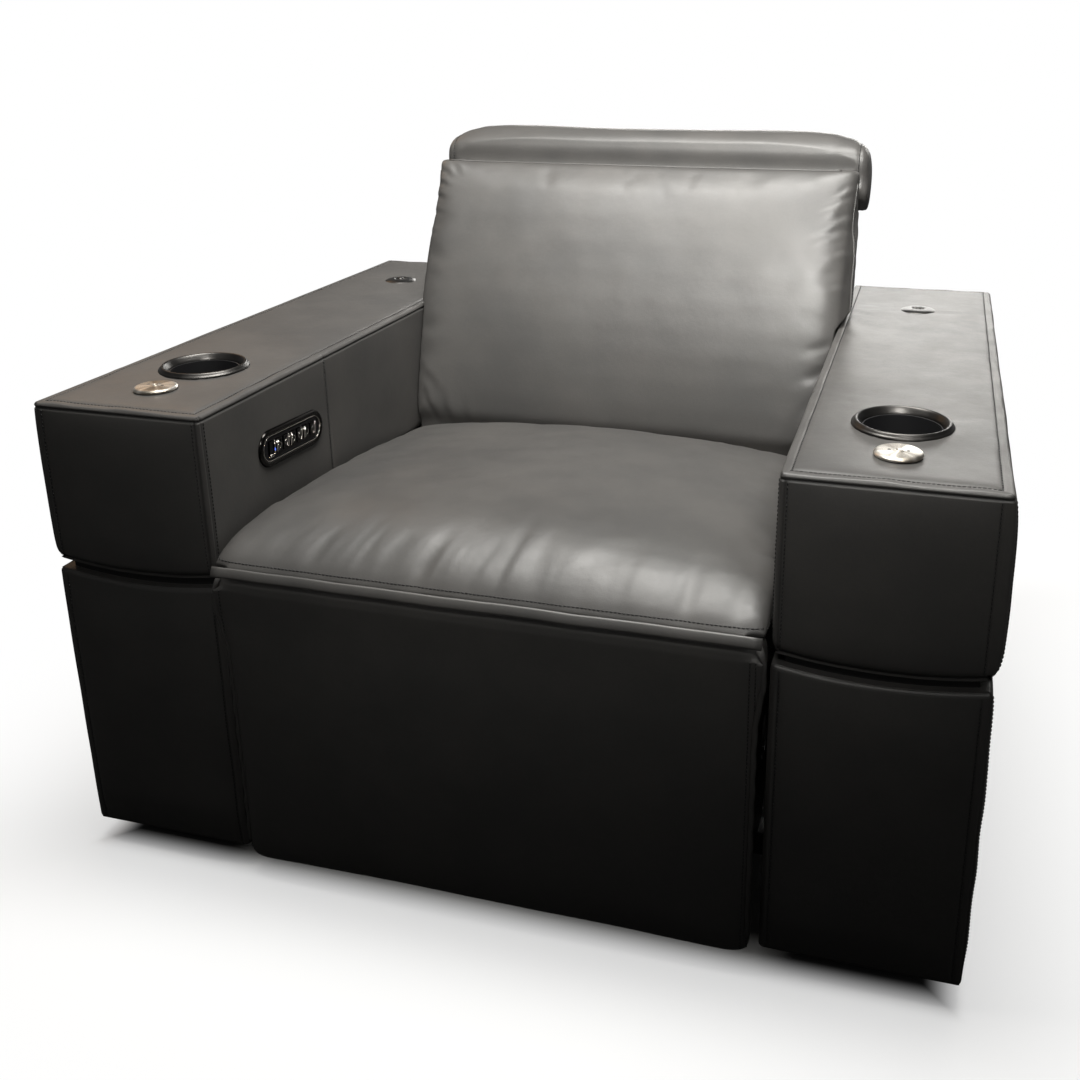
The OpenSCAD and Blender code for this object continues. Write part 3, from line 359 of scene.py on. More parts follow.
@dataclass(frozen=True)
class Plastic:
    """A moulded or lacquered plastic, with a fine texture and slight colour change."""

    name: str
    colour: tuple[float, float, float]
    roughness: float = 0.5
    texture: float = 0.00005
    scale: float = 900
    gloss: float = 0.5

    def material(self) -> bpy.types.Material:
        """Builds the material."""
        graph = Graph(self.name)
        cloud = graph.noise(40, 3)
        grain = graph.noise(self.scale, 2)
        low = tuple(c * 0.8 for c in self.colour) + (1.0,)
        high = tuple(c * 1.2 for c in self.colour) + (1.0,)
        rough = (grain - 0.5) * 0.12 + self.roughness
        return graph.surface({
            "Base Color": graph.blend(cloud, low, high), "Roughness": rough, "Specular IOR Level": self.gloss,
            "Normal": graph.bump(grain, self.texture, 0.4),
        })


@dataclass(frozen=True)
class Plywood:
    """Birch plywood with long grain, painted near-black where it shows between the arm's boxes, as painted shade in
    that gap.
    """

    name: str = "plywood"

    def material(self) -> bpy.types.Material:
        """Builds the material: stretched noise for the grain."""
        graph = Graph(self.name)
        inputs = {"Vector": graph.place(), "Scale": (40, 3, 40)}
        long = graph.node("ShaderNodeMapping", {}, inputs).outputs[0]
        grain = graph.noise(3, 5, 0.6, long)
        colour = graph.blend(grain.between(0.3, 0.7), (0.50, 0.36, 0.21, 1), (0.66, 0.51, 0.33, 1))
        # Painted shade: a near-black band between the heights of the two arm boxes stands in for the shadow in the
        # gap.
        height = Value(graph, graph.node("ShaderNodeSeparateXYZ", {}, {0: graph.place()}).outputs[2])
        gap_shade_band = height.between(0.352, 0.354) * (1 - height.between(0.414, 0.416))
        colour = graph.blend(gap_shade_band, colour, tint(0.006))
        return graph.surface({
            "Base Color": colour, "Roughness": grain * 0.2 + 0.5, "Normal": graph.bump(grain, 0.0003, 0.4),
        })


@dataclass(frozen=True)
class Lamp:
    """A small lit mark in a clear cap."""

    name: str
    colour: tuple[float, float, float, float]
    strength: float

    def material(self) -> bpy.types.Material:
        """Builds the material: the glow fades in small cells."""
        graph = Graph(self.name)
        glow = graph.blend(graph.noise(700, 1), (0, 0, 0.02, 1), self.colour)
        return graph.surface({
            "Base Color": tint(0.02), "Roughness": graph.noise(300, 1) * 0.1 + 0.2,
            "Emission Color": glow, "Emission Strength": self.strength,
        })


# Modelling


class Shape:
    """A mesh in the making, in millimetres of the arm's front, shaped with bmesh operators."""

    def __init__(self) -> None:
        """Starts empty."""
        self.bm = bmesh.new()

    @property
    def whole(self) -> list[Any]:
        """Every vertex, edge and face."""
        return [*self.bm.verts, *self.bm.edges, *self.bm.faces]

    def box(self, low: Sequence[float], high: Sequence[float]) -> "Shape":
        """Adds a box between two corners."""
        low, high = Vector(low), Vector(high)
        size = Matrix.Diagonal((high - low).to_4d())
        matrix = Matrix.Translation((low + high) / 2) @ size
        bmesh.ops.create_cube(self.bm, size=1.0, matrix=matrix)
        return self

    def round(self, radius: float, segments: int) -> "Shape":
        """Rounds every edge whose faces meet at more than 30 degrees."""
        sharp = [e for e in self.bm.edges if e.calc_face_angle(0) > math.radians(30)]
        bmesh.ops.bevel(
            self.bm, geom=sharp, offset=radius, segments=segments, profile=0.5, affect="EDGES", material=-1
        )
        return self

    def slice(self, axis: int, stations: Iterable[float]) -> "Shape":
        """Cuts the mesh across an axis at each station, for a grid that can be shaped."""
        normal = Vector((0, 0, 0))
        normal[axis] = 1
        for station in stations:
            bmesh.ops.bisect_plane(self.bm, geom=self.whole, plane_co=normal * station, plane_no=normal, dist=1e-4)
        return self

    def warp(self, move: Callable[[Vector], Vector]) -> "Shape":
        """Moves every vertex to where the function sends it."""
        for vert in self.bm.verts:
            vert.co = move(vert.co)
        return self

    def pierce(self, x: float, y: float, low: float, radius: float) -> "Shape":
        """Opens a round hole in the faces above a height."""
        def off(place: Vector) -> float:
            """Distance from the hole's axis."""
            return math.hypot(place.x - x, place.y - y)
        gone = [f for f in self.bm.faces if f.calc_center_median().z > low and off(f.calc_center_median()) < radius]
        bmesh.ops.delete(self.bm, geom=gone, context="FACES")
        for vert in self.bm.verts:
            if vert.is_boundary:
                share = radius / max(1.0, off(vert.co))
                vert.co.x = x + (vert.co.x - x) * share
                vert.co.y = y + (vert.co.y - y) * share
        return self

    def lathe(self, profile: Sequence[tuple[float, float]], centre: Sequence[float], steps: int = 72) -> "Shape":
        """Spins a profile of (radius, height) round the vertical through the centre."""
        centre = Vector(centre)
        verts = [self.bm.verts.new(centre + Vector((r, 0, z))) for r, z in profile]
        edges = [self.bm.edges.new(pair) for pair in zip(verts, verts[1:])]
        bmesh.ops.spin(
            self.bm, geom=[*verts, *edges], cent=centre, axis=(0, 0, 1), dvec=(0, 0, 0),
            angle=math.tau, steps=steps, use_duplicate=False
        )
        bmesh.ops.remove_doubles(self.bm, verts=self.bm.verts[:], dist=1e-3)
        return self

    def sweep(self, path: Sequence[Vector], up: Sequence[Vector], wide: float, high: float,
              closed: bool = False, sides: int = 10) -> "Shape":
        """Sweeps an oval along a path.

        Args:
            path: the places it passes.
            up: the direction of its height at each place.
            wide: the oval's half-width, across the path and the height.
            high: its half-height.
            closed: whether the path meets its own start.
            sides: how many sides the oval has.

        Returns:
            The shape itself.
        """
        count = len(path)
        def turn(i: int) -> Matrix:
            """The oval's place and stance at a step."""
            ahead = path[(i + 1) % count] if closed else path[min(count - 1, i + 1)]
            behind = path[i - 1] if closed else path[max(0, i - 1)]
            along = (ahead - behind).normalized()
            across = along.cross(up[i]).normalized()
            lift = across.cross(along)
            stance = Matrix((across * wide, lift * high, along)).transposed().to_4x4()
            return Matrix.Translation(path[i]) @ stance
        ring = bmesh.ops.create_circle(self.bm, segments=sides, radius=1.0, matrix=turn(0))["verts"]
        first = list(ring)
        edges = list({e for v in ring for e in v.link_edges})
        home = [turn(0).inverted() @ v.co for v in ring]
        for i in range(1, count):
            made = bmesh.ops.extrude_edge_only(self.bm, edges=edges)["geom"]
            verts = [v for v in made if isinstance(v, bmesh.types.BMVert)]
            edges = [e for e in made if isinstance(e, bmesh.types.BMEdge) and all(v in verts for v in e.verts)]
            back = turn(i - 1).inverted()
            matrix = turn(i)
            for vert in verts:
                vert.co = matrix @ (back @ vert.co)
        if closed:
            start = [e for e in self.bm.edges if e.is_boundary and all(v in first for v in e.verts)]
            bmesh.ops.bridge_loops(self.bm, edges=[*start, *edges])
        else:
            bmesh.ops.holes_fill(self.bm, edges=[e for e in self.bm.edges if e.is_boundary], sides=0)
        return self

    def bead(self, place: Vector, along: Vector, normal: Vector, size: Sequence[float]) -> "Shape":
        """Adds a small round-ended bead, such as one stitch, with half-sizes along, across and up."""
        across = normal.cross(along).normalized()
        stance = Matrix((along * size[0], across * size[1], normal * size[2])).transposed().to_4x4()
        bmesh.ops.create_uvsphere(self.bm, u_segments=6, v_segments=4, radius=1.0,
                                  matrix=Matrix.Translation(place) @ stance)
        return self

    def join(self, other: "Shape") -> "Shape":
        """Takes in another shape's mesh."""
        mesh = bpy.data.meshes.new("joined")
        other.bm.to_mesh(mesh)
        other.bm.free()
        self.bm.from_mesh(mesh)
        bpy.data.meshes.remove(mesh)
        return self

    def mirror(self) -> "Shape":
        """Turns it into its mirror image across x = 0."""
        bmesh.ops.scale(self.bm, vec=(-1, 1, 1), verts=self.bm.verts[:])
        return self

    def paint(self, name: str, level: Callable[[Vector], float]) -> "Shape":
        """Paints a number between 0 and 1 on every vertex."""
        layer = self.bm.verts.layers.float.get(name) or self.bm.verts.layers.float.new(name)
        for vert in self.bm.verts:
            vert[layer] = level(vert.co)
        return self

    def finish(self, name: str, material: bpy.types.Material, smooth: bool = True) -> bpy.types.Object:
        """Makes the object, in metres, faces outward, with its material."""
        bmesh.ops.remove_doubles(self.bm, verts=self.bm.verts[:], dist=1e-4)
        bmesh.ops.recalc_face_normals(self.bm, faces=self.bm.faces[:])
        for vert in self.bm.verts:
            vert.co = metres(vert.co)
        for face in self.bm.faces:
            face.smooth = smooth
        mesh = bpy.data.meshes.new(name)
        self.bm.to_mesh(mesh)
        self.bm.free()
        made = bpy.data.objects.new(name, mesh)
        bpy.context.scene.collection.objects.link(made)
        mesh.materials.append(material)
        return made


def bake(made: bpy.types.Object) -> None:
    """Applies an object's modifiers to its mesh."""
    graph = bpy.context.evaluated_depsgraph_get()
    mesh = bpy.data.meshes.new_from_object(made.evaluated_get(graph))
    made.modifiers.clear()
    made.data = mesh


class Surface:
    """The skin of a finished piece, for laying seams on it."""

    def __init__(self, made: bpy.types.Object) -> None:
        """Takes the piece's mesh as it stands."""
        mesh = made.data
        places = [millimetres(v.co) for v in mesh.vertices]
        self.tree = BVHTree.FromPolygons(places, [p.vertices[:] for p in mesh.polygons])

    def drop(self, place: Vector, normal: Vector, reach: float = 45) -> tuple[Vector, Vector] | None:
        """Where a line dropped on the skin from outside meets it, and the skin's normal there."""
        hit, bare, _, _ = self.tree.ray_cast(place + normal * reach, -normal, 2 * reach)
        if hit is None:
            return None
        return hit, bare if bare.dot(normal) > 0 else -bare

    def row(self, path: Sequence[Vector], normal: Vector | Sequence[Vector], pitch: float = 4.6) -> Row:
        """Lays a path on the skin.

        Args:
            path: corners of the path, near the skin.
            normal: which way is out, for the whole path or for each corner.
            pitch: distance between the places returned.

        Returns:
            Places on the skin with their normals, in order.
        """
        normals = [normal] * len(path) if isinstance(normal, Vector) else list(normal)
        found: Row = []
        spare = 0.0
        for i in range(len(path) - 1):
            span = (path[i + 1] - path[i]).length
            while spare < span:
                share = spare / span
                out = normals[i].lerp(normals[i + 1], share).normalized()
                hit = self.drop(path[i].lerp(path[i + 1], share), out)
                if hit:
                    found.append(hit)
                spare += pitch
            spare -= span
        return found


@dataclass
class Seamstress:
    """Sews rows of stitches and lays welts for one body."""

    body: str
    thread: bpy.types.Material
    leather: bpy.types.Material
    length: float = 2.15
    radius: float = 0.85
    settle: Callable[[bpy.types.Object], None] = lambda made: None

    def __post_init__(self) -> None:
        """Starts with no stitch and no welt."""
        self.stitches = Shape()
        self.welts = Shape()
        self.sewn = 0
        self.laid = 0

    def sew(self, row: Row) -> None:
        """Sews one stitch at each place of a row."""
        sewn = Shape()
        for i, (place, normal) in enumerate(row):
            if i % 16 == 0:
                self.stitches.join(sewn)
                sewn = Shape()
            ahead = row[min(len(row) - 1, i + 1)][0]
            behind = row[max(0, i - 1)][0]
            along = ahead - behind
            if along.length < 1e-6 or along.length > 25:
                continue
            size = (self.length, self.radius, self.radius)
            sewn.bead(place + normal * 0.1, along.normalized(), normal, size)
            self.sewn += 1
        self.stitches.join(sewn)

    def welt(self, row: Row, wide: float, high: float, lift: float = 0.0, closed: bool = False) -> None:
        """Lays a welt along a row, its middle lifted off the skin."""
        places = [place + normal * lift for place, normal in row]
        if len(places) < 3:
            log.warning("welt %d on %s has no skin under it", self.laid, self.body)
            return
        laid = Shape().sweep(places, [normal for _, normal in row], wide, high, closed)
        self.welts.join(laid)
        self.laid += 1

    def finish(self) -> None:
        """Hands the stitches and welts over to their body."""
        for kind, count, shape, material in (
            ("stitches", self.sewn, self.stitches, self.thread), ("welts", self.laid, self.welts, self.leather)
        ):
            if count:
                made = shape.finish(f"{kind}_{self.body}", material)
                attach(made, self.body)
                self.settle(made)
                log.info("%s: %d", made.name, count)


@dataclass(frozen=True)
class Fold:
    """A fold of soft leather: a groove with a swell beside it."""

    middle: tuple[float, float]
    lean: float
    length: float
    width: float
    depth: float

    def height(self, u: float, v: float) -> float:
        """How far it lifts the leather at (u, v), its own axis running along v."""
        du, dv = u - self.middle[0], v - self.middle[1]
        cos, sin = math.cos(math.radians(self.lean)), math.sin(math.radians(self.lean))
        across = du * cos + dv * sin
        along = dv * cos - du * sin
        across += 0.12 * self.width * math.sin(along / self.length * 5)
        share = hill(along, self.length)
        return share * self.depth * (0.55 * hill(across - 1.3 * self.width, self.width) - hill(across, self.width))


def rough(place: Vector, size: float, seed: float = 0.0) -> float:
    """Smooth wandering between about -1 and 1, over that size."""
    return noise.noise(place / size + Vector((seed, seed * 0.7, seed * 1.3))) * 1.6


# Studio


@dataclass(frozen=True)
class Studio:
    """The camera at the photograph's place, soft lamps above and in front, and a pale floor."""

    eye: tuple[float, float, float] = (0.4515, -1.4919, 0.9962)
    pitch: float = 72.122
    yaw: float = 15.236
    lens: float = 38.625
    shift: tuple[float, float] = (-0.0781, -0.1223)
    ambient: float = 0.015
    sky_gloss: float = 0.12
    floor_gloss: float = 0.02

    def camera(self) -> None:
        """Makes the scene's camera."""
        data = bpy.data.cameras.new("camera")
        data.lens = self.lens
        data.sensor_width = 36
        data.sensor_fit = "HORIZONTAL"
        data.shift_x, data.shift_y = self.shift
        data.clip_start = 0.05
        made = bpy.data.objects.new("camera", data)
        made.location = self.eye
        made.rotation_euler = (math.radians(self.pitch), 0, math.radians(self.yaw))
        bpy.context.scene.collection.objects.link(made)
        bpy.context.scene.camera = made

    def lamp(self, name: str, place: Sequence[float], aim: Sequence[float], size: Sequence[float],
             power: float, colour: Sequence[float] = (1, 1, 1), spread: float = 180) -> None:
        """Adds a rectangular soft lamp that faces its aim, its beam as wide as the spread in degrees."""
        data = bpy.data.lights.new(name, "AREA")
        data.shape = "RECTANGLE"
        data.size, data.size_y = size
        data.energy = power
        data.color = colour
        data.spread = math.radians(spread)
        made = bpy.data.objects.new(name, data)
        made.location = place
        made.rotation_euler = (Vector(aim) - Vector(place)).to_track_quat("-Z", "Y").to_euler()
        bpy.context.scene.collection.objects.link(made)

    def seen(self, graph: Graph, mirrored: float) -> Value:
        """How much a ray sees of the white background: all from the camera, part in reflections."""
        path = graph.node("ShaderNodeLightPath").outputs
        camera = Value(graph, path["Is Camera Ray"])
        glass = Value(graph, path["Is Transmission Ray"])
        gloss = Value(graph, path["Is Glossy Ray"])
        return (camera + glass + gloss * mirrored).math("MINIMUM", 1.0)

    def world(self) -> None:
        """White to the camera and plain grey to everything else."""
        world = bpy.data.worlds.new("studio")
        world.use_nodes = True
        bpy.context.scene.world = world
        graph = Graph("world_nodes")
        graph.tree = world.node_tree
        graph.tree.nodes.clear()
        level = self.seen(graph, self.sky_gloss) * (1 - self.ambient) + self.ambient
        shade = graph.node("ShaderNodeBackground", {}, {"Color": (1, 1, 1, 1), "Strength": level})
        graph.node("ShaderNodeOutputWorld", {}, {"Surface": shade.outputs[0]})

    def floor(self) -> None:
        """A wide pale floor: nearly white to the camera, with the object's shadow from the lamps, deepened by painted
        shadow where the floor's colour turns near-black under the seat's footprint.
        """
        shape = Shape()
        bmesh.ops.create_grid(shape.bm, x_segments=4, y_segments=4, size=9000)
        graph = Graph("floor")
        tone = graph.blend(graph.noise(2, 2), tint(0.02), tint(0.03))
        parts = graph.node("ShaderNodeSeparateXYZ", {}, {0: graph.place()}).outputs
        aside = Value(graph, parts[0]).math("ABSOLUTE") - 0.52
        behind = Value(graph, parts[1]).math("ABSOLUTE") - 0.44
        away = aside.math("MAXIMUM", behind)
        glow = away.between(-0.03, 0.5) * 0.4 + away.between(-0.02, 0.03) * 0.6
        matte = graph.node("ShaderNodeBsdfDiffuse", {}, {"Color": tone})
        # Painted shadow: the floor's colour is near-black inside the seat's footprint and pale outside it.
        under = graph.blend(away.between(-0.05, 0.0), tint(0.02), tint(0.8))
        pale = graph.node("ShaderNodeBsdfDiffuse", {}, {"Color": under})
        white = graph.node("ShaderNodeEmission", {}, {"Color": (1, 1, 1, 1), "Strength": 1.0})
        lit = graph.node("ShaderNodeMixShader", {}, {0: glow, 1: pale.outputs[0], 2: white.outputs[0]})
        out = graph.node("ShaderNodeMixShader", {}, {0: self.seen(graph, self.floor_gloss), 1: matte.outputs[0], 2: lit.outputs[0]})
        graph.node("ShaderNodeOutputMaterial", {}, {"Surface": out.outputs[0]})
        made = shape.finish("floor", graph.material)

    def build(self) -> None:
        """Sets the scene up."""
        scene = bpy.context.scene
        scene.view_settings.view_transform = "Standard"
        self.camera()
        self.world()
        self.floor()
        warm = (1.0, 0.985, 0.945)
        self.lamp("overhead", (0.04, -0.16, 2.45), (0.02, -0.1, 0.4), (1.5, 0.66), 90, warm)
        self.lamp("back_light", (0.7, -1.9, 2.4), (0.08, 0.27, 0.70), (0.9, 0.6), 6.4, warm, spread=32)
        self.lamp("rear_low", (0.1, 2.6, 1.3), (0.1, 0.0, 0.5), (2.4, 0.5), 32, warm)
        self.lamp("left_warm", (-1.7, 1.0, 1.8), (-0.4, 0.0, 0.6), (0.8, 0.8), 3, (1.0, 0.6, 0.3))
        log.info("studio ready")


# Arms


def spread(low: float, high: float, step: float, dense: Iterable[float] = ()) -> list[float]:
    """Stations from low to high about a step apart, with finer ones round each dense place."""
    count = max(1, round((high - low) / step))
    found = {round(low + (high - low) * i / count, 3) for i in range(1, count)}
    for place in dense:
        found |= {round(place + d, 3) for d in (-2.4, -1.2, 0.0, 1.2, 2.4)}
    return sorted(s for s in found if low < s < high)


@dataclass
class ArmBox:
    """One arm: its two padded leather boxes with their seams."""

    side: Side
    leather: bpy.types.Material
    inner: float = 320
    outer: float = 540
    depth: float = 915
    top: float = 595
    bottom: float = 398
    sag: float = 10
    foot: float = 28
    gap_low: float = 386
    recess: float = 6
    flush: float = 0
    lip: float = 7.5
    inset: float = 12
    corner: float = 7

    def out(self, x: float) -> float:
        """The x of a place counted as on the right arm."""
        return x * self.side.value

    def vector(self, x: float, y: float, z: float) -> Vector:
        """A place given as on the right arm."""
        return Vector((self.out(x), y, z))

    @property
    def middle(self) -> float:
        """The x of the arm's middle, counted as on the right arm."""
        return (self.inner + self.outer) / 2

    def sagging(self, x: float) -> float:
        """How far the gap between the boxes bows down at x."""
        half = (self.outer - self.inner) / 2
        return self.sag * (1 - ((x - self.middle) / half) ** 2)

    def puckers(self, place: Vector) -> float:
        """Small folds of the top leather round the fittings and beside the back."""
        x, y = place.x - self.middle, place.y
        folds = 0.0
        for across, along, lean, length, width, depth in (
            (-58, 733, 82, 26, 4.0, 1.1), (60, 731, 96, 30, 4.2, 1.2), (-66, 752, 74, 24, 5.0, 0.7),
            (-80, 640, 30, 34, 6.0, 0.8), (-88, 560, 18, 40, 6.5, 0.7), (74, 690, -20, 36, 7.0, 0.6),
            (-84, 700, 50, 24, 5.0, 0.9), (86, 250, 8, 60, 7.0, 0.5), (-60, 250, 70, 22, 5.0, 0.4),
            (62, 210, -60, 20, 5.0, 0.5), (-36, 112, 50, 16, 4.5, 0.4), (40, 60, 84, 18, 5.0, 0.4)
        ):
            folds += Fold((across, along), lean, length, width, depth).height(x, y)
        return folds

    def upper(self) -> bpy.types.Object:
        """Builds the upper box: rolled top edge over a seam, padded faces, puckered top."""
        seam = self.top - self.lip
        shape = Shape().box((self.inner, 0, self.bottom), (self.outer, self.depth, self.top)).round(7, 4)
        lines = (self.inner + self.corner, self.inner + self.inset, self.outer - self.inset)
        shape.slice(0, spread(self.inner, self.outer, 9, lines))
        shape.slice(1, spread(0, self.depth, 9, (self.corner, self.inset - 1, 278, self.depth - self.inset)))
        shape.slice(2, spread(self.bottom, self.top, 9, (seam, seam - 5, self.bottom + 11)))
        shape.pierce(self.middle, 175, self.top - 2, 48)

        def pad(place: Vector) -> Vector:
            """Swells each face between its seams and sinks the seams."""
            x, y, z = place
            u = (x - self.middle) / 110
            end = min(y, self.depth - y)
            low = 1 - ramp(z, self.bottom, self.bottom + 70)
            moved = Vector((x, y, z - self.sagging(x) * low))
            groove = 1.7 * hill(z - seam, 1.3)
            under = max(0.0, seam - z)
            swell = (1 - math.exp(-under / 24)) * ramp(z, self.bottom - 6, self.bottom + 30)
            toe = max(0.0, 15 - (z - self.bottom))
            tuck = 15 - math.sqrt(225 - toe * toe) if z < seam else 0.0
            bead = 1.3 * (hill(x - self.inner - self.corner, 1.8) + hill(self.outer - self.corner - x, 1.8))
            if y < 3:
                moved.y += groove + tuck + 1.4 - 4.4 * (1 - abs(u) ** 5) * swell + bead * (z < seam)
            elif y > self.depth - 3:
                moved.y -= groove + tuck + 1.0 - 3.0 * (1 - abs(u) ** 5) * swell
            if x < self.inner + 3:
                stitch = 1.3 * hill(y - 278, 1.6) + 1.2 * hill(y - self.corner, 1.8)
                moved.x += groove + stitch + 0.6 * tuck - 1.2 * (1 - math.exp(-end / 16)) * swell + 0.8
            elif x > self.outer - 3:
                puff = (1 - math.exp(-end / 11)) * swell
                moved.x += 7.5 * puff - groove - 0.8 * tuck + 1.4 * rough(place, 75, 21) * puff
            if z > self.top - 1:
                rim = min(110 - abs(x - self.middle), end)
                moved.z += 0.6 - 0.9 * hill(rim - self.inset, 1.6) - 1.8 * (1 - ramp(rim, 3, 24))
                moved.z += 1.5 * self.puckers(place) + 0.9 * rough(place, 90, 3) * ramp(rim, 8, 40)
                moved.z += 0.9 * rough(place, 34, 41) * hill(rim - 4, 12)
                around = abs(math.hypot(x - self.middle, y - 175) - 58)
                moved.z += 0.9 * hill(around, 5) if around < 15 else 0.0
                moved.x += 1.8 * rough(place, 40, 31) * hill(110 - abs(x - self.middle), 14)
            else:
                moved += Vector((rough(place, 70, 1), rough(place, 80, 2), 0)) * 0.4
            return moved

        def sewn(p: Vector) -> float:
            """How dark the leather is painted along the seams: needle holes, and painted shade in the seam grooves
            and under the rolled top edge.
            """
            if p.z > self.top - 4:
                rim = min(110 - abs(p.x - self.middle), p.y, self.depth - p.y)
                return 0.3 * hill(rim - self.inset, 0.9)
            # Painted shade: a near-black line in the groove under the rolled top edge, where the top's shadow falls.
            dark = 0.95 * hill(p.z - seam, 1.0)
            if p.y < 6:
                dark = max(dark, 0.6 * hill(p.x - self.inner - self.corner, 1.2), 0.45 * hill(self.outer - p.x - self.inset, 1.2))
            if p.x < self.inner + 6:
                dark = max(dark, 0.6 * hill(p.y - self.corner, 1.2), 0.7 * hill(p.y - 278, 1.2))
            return dark

        shape.warp(pad)
        shape.paint("seam", sewn)
        if self.side is Side.LEFT:
            shape.mirror()
        made = shape.finish(f"{self.side.word}_upper_arm_leather", self.leather)
        self.place(made, f"{self.side.word}_upper_arm_cover")
        return made

    def lower(self) -> bpy.types.Object:
        """Builds the lower box, set back in front, its top bowing down under the upper one."""
        low, high = self.inner + 0.4, self.outer + 0.5
        near, far = self.flush, self.depth - self.recess
        shape = Shape().box((low, near, self.foot), (high, far, self.gap_low)).round(6, 4)
        shape.slice(0, spread(low, high, 9, (low + 9, high - 12)))
        shape.slice(1, spread(near, far, 10, (near + self.corner, 250, 640)))
        shape.slice(2, spread(self.foot, self.gap_low, 9, (self.gap_low - 4,)))

        def pad(place: Vector) -> Vector:
            """Swells the faces, bows the top down and ripples the outer side."""
            x, y, z = place
            u = (x - self.middle) / 111
            end = min(y - near, far - y)
            t = (z - self.foot) / (self.gap_low - self.foot)
            moved = Vector((x, y, z - self.sagging(x) * ramp(t, 0.5, 1)))
            under = self.gap_low - z
            swell = (1 - math.exp(-under / 42)) * ramp(t, -0.02, 0.14)
            if y < near + 3:
                sewing = 1.1 * (hill(x - low - 9, 1.8) + hill(high - 12 - x, 1.8)) * ramp(under, 6, 20)
                moved.y += 2.6 + sewing - 7.0 * (1 - abs(u) ** 5) * swell + 0.7 * rough(place, 70, 5)
            elif y > far - 3:
                moved.y += 4.0 * (1 - abs(u) ** 4) * swell - 1.5
            if x > high - 3:
                seams = 1.8 * (hill(y - 250, 1.8) + hill(y - 640, 1.8))
                puff = (1 - math.exp(-end / 14)) * swell
                moved.x += 5.0 * puff - seams - 2.0 + 2.0 * rough(place, 62, 8) * puff
            return moved

        def sewn(p: Vector) -> float:
            """How dark the leather is painted along the seams: needle holes, and painted shade in the seam grooves.
            """
            if p.x > high - 6:
                return 0.9 * max(hill(p.y - 250, 1.4), hill(p.y - 640, 1.4))
            if p.y < near + 8 and p.z < self.gap_low - 8:
                return 0.5 * max(hill(p.x - low - 9, 1.3), hill(high - 12 - p.x, 1.3))
            return 0.0

        shape.warp(pad)
        shape.paint("seam", sewn)
        if self.side is Side.LEFT:
            shape.mirror()
        made = shape.finish(f"{self.side.word}_lower_arm_leather", self.leather)
        self.place(made, f"{self.side.word}_lower_arm_cover")
        return made

    def place(self, made: bpy.types.Object, node: str) -> None:
        """Attaches a leather box to the base body in place of its CAD cover, which it hides."""
        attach(made, "base")
        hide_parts(node)
        log.info("%s: %d faces", made.name, len(made.data.polygons))

    def sew(self, upper: bpy.types.Object, lower: bpy.types.Object, hand: Seamstress) -> None:
        """Sews the top's outline, the corners, the inner seam and the lower box."""
        skin, base = Surface(upper), Surface(lower)
        up, front = Vector((0, 0, 1)), Vector((0, -1, 0))
        inward, outward = Vector((-self.side.value, 0, 0)), Vector((self.side.value, 0, 0))
        low, high = self.inner + self.inset, self.outer - self.inset
        near, far = self.inset - 1, self.depth - self.inset
        outline = [self.vector(x, y, self.top) for x, y in ((low, near), (high, near), (high, far), (low, far), (low, near))]
        for a, b in zip(outline, outline[1:]):
            hand.sew(skin.row([a, b], up))
        start, end = self.top - self.lip - 4, self.bottom + 8
        for x in (self.inner + self.corner + 3, self.outer - self.inset):
            hand.sew(skin.row([self.vector(x, 0, start), self.vector(x, 0, end)], front))
        for y in (self.corner + 3, 275.4, self.depth - 10):
            hand.sew(skin.row([self.vector(self.inner, y, start), self.vector(self.inner, y, end)], inward))
        hand.sew(skin.row([self.vector(self.outer, 10, start), self.vector(self.outer, 10, end)], outward))
        for x in (self.inner + 10.5, self.outer - 11.5):
            hand.sew(base.row([self.vector(x, 0, self.gap_low - 20), self.vector(x, 0, self.foot + 8)], front))
        for y in (246.5, 636.5, 18):
            path = [self.vector(self.outer, y, self.gap_low - 14), self.vector(self.outer, y, self.foot + 8)]
            hand.sew(base.row(path, outward))


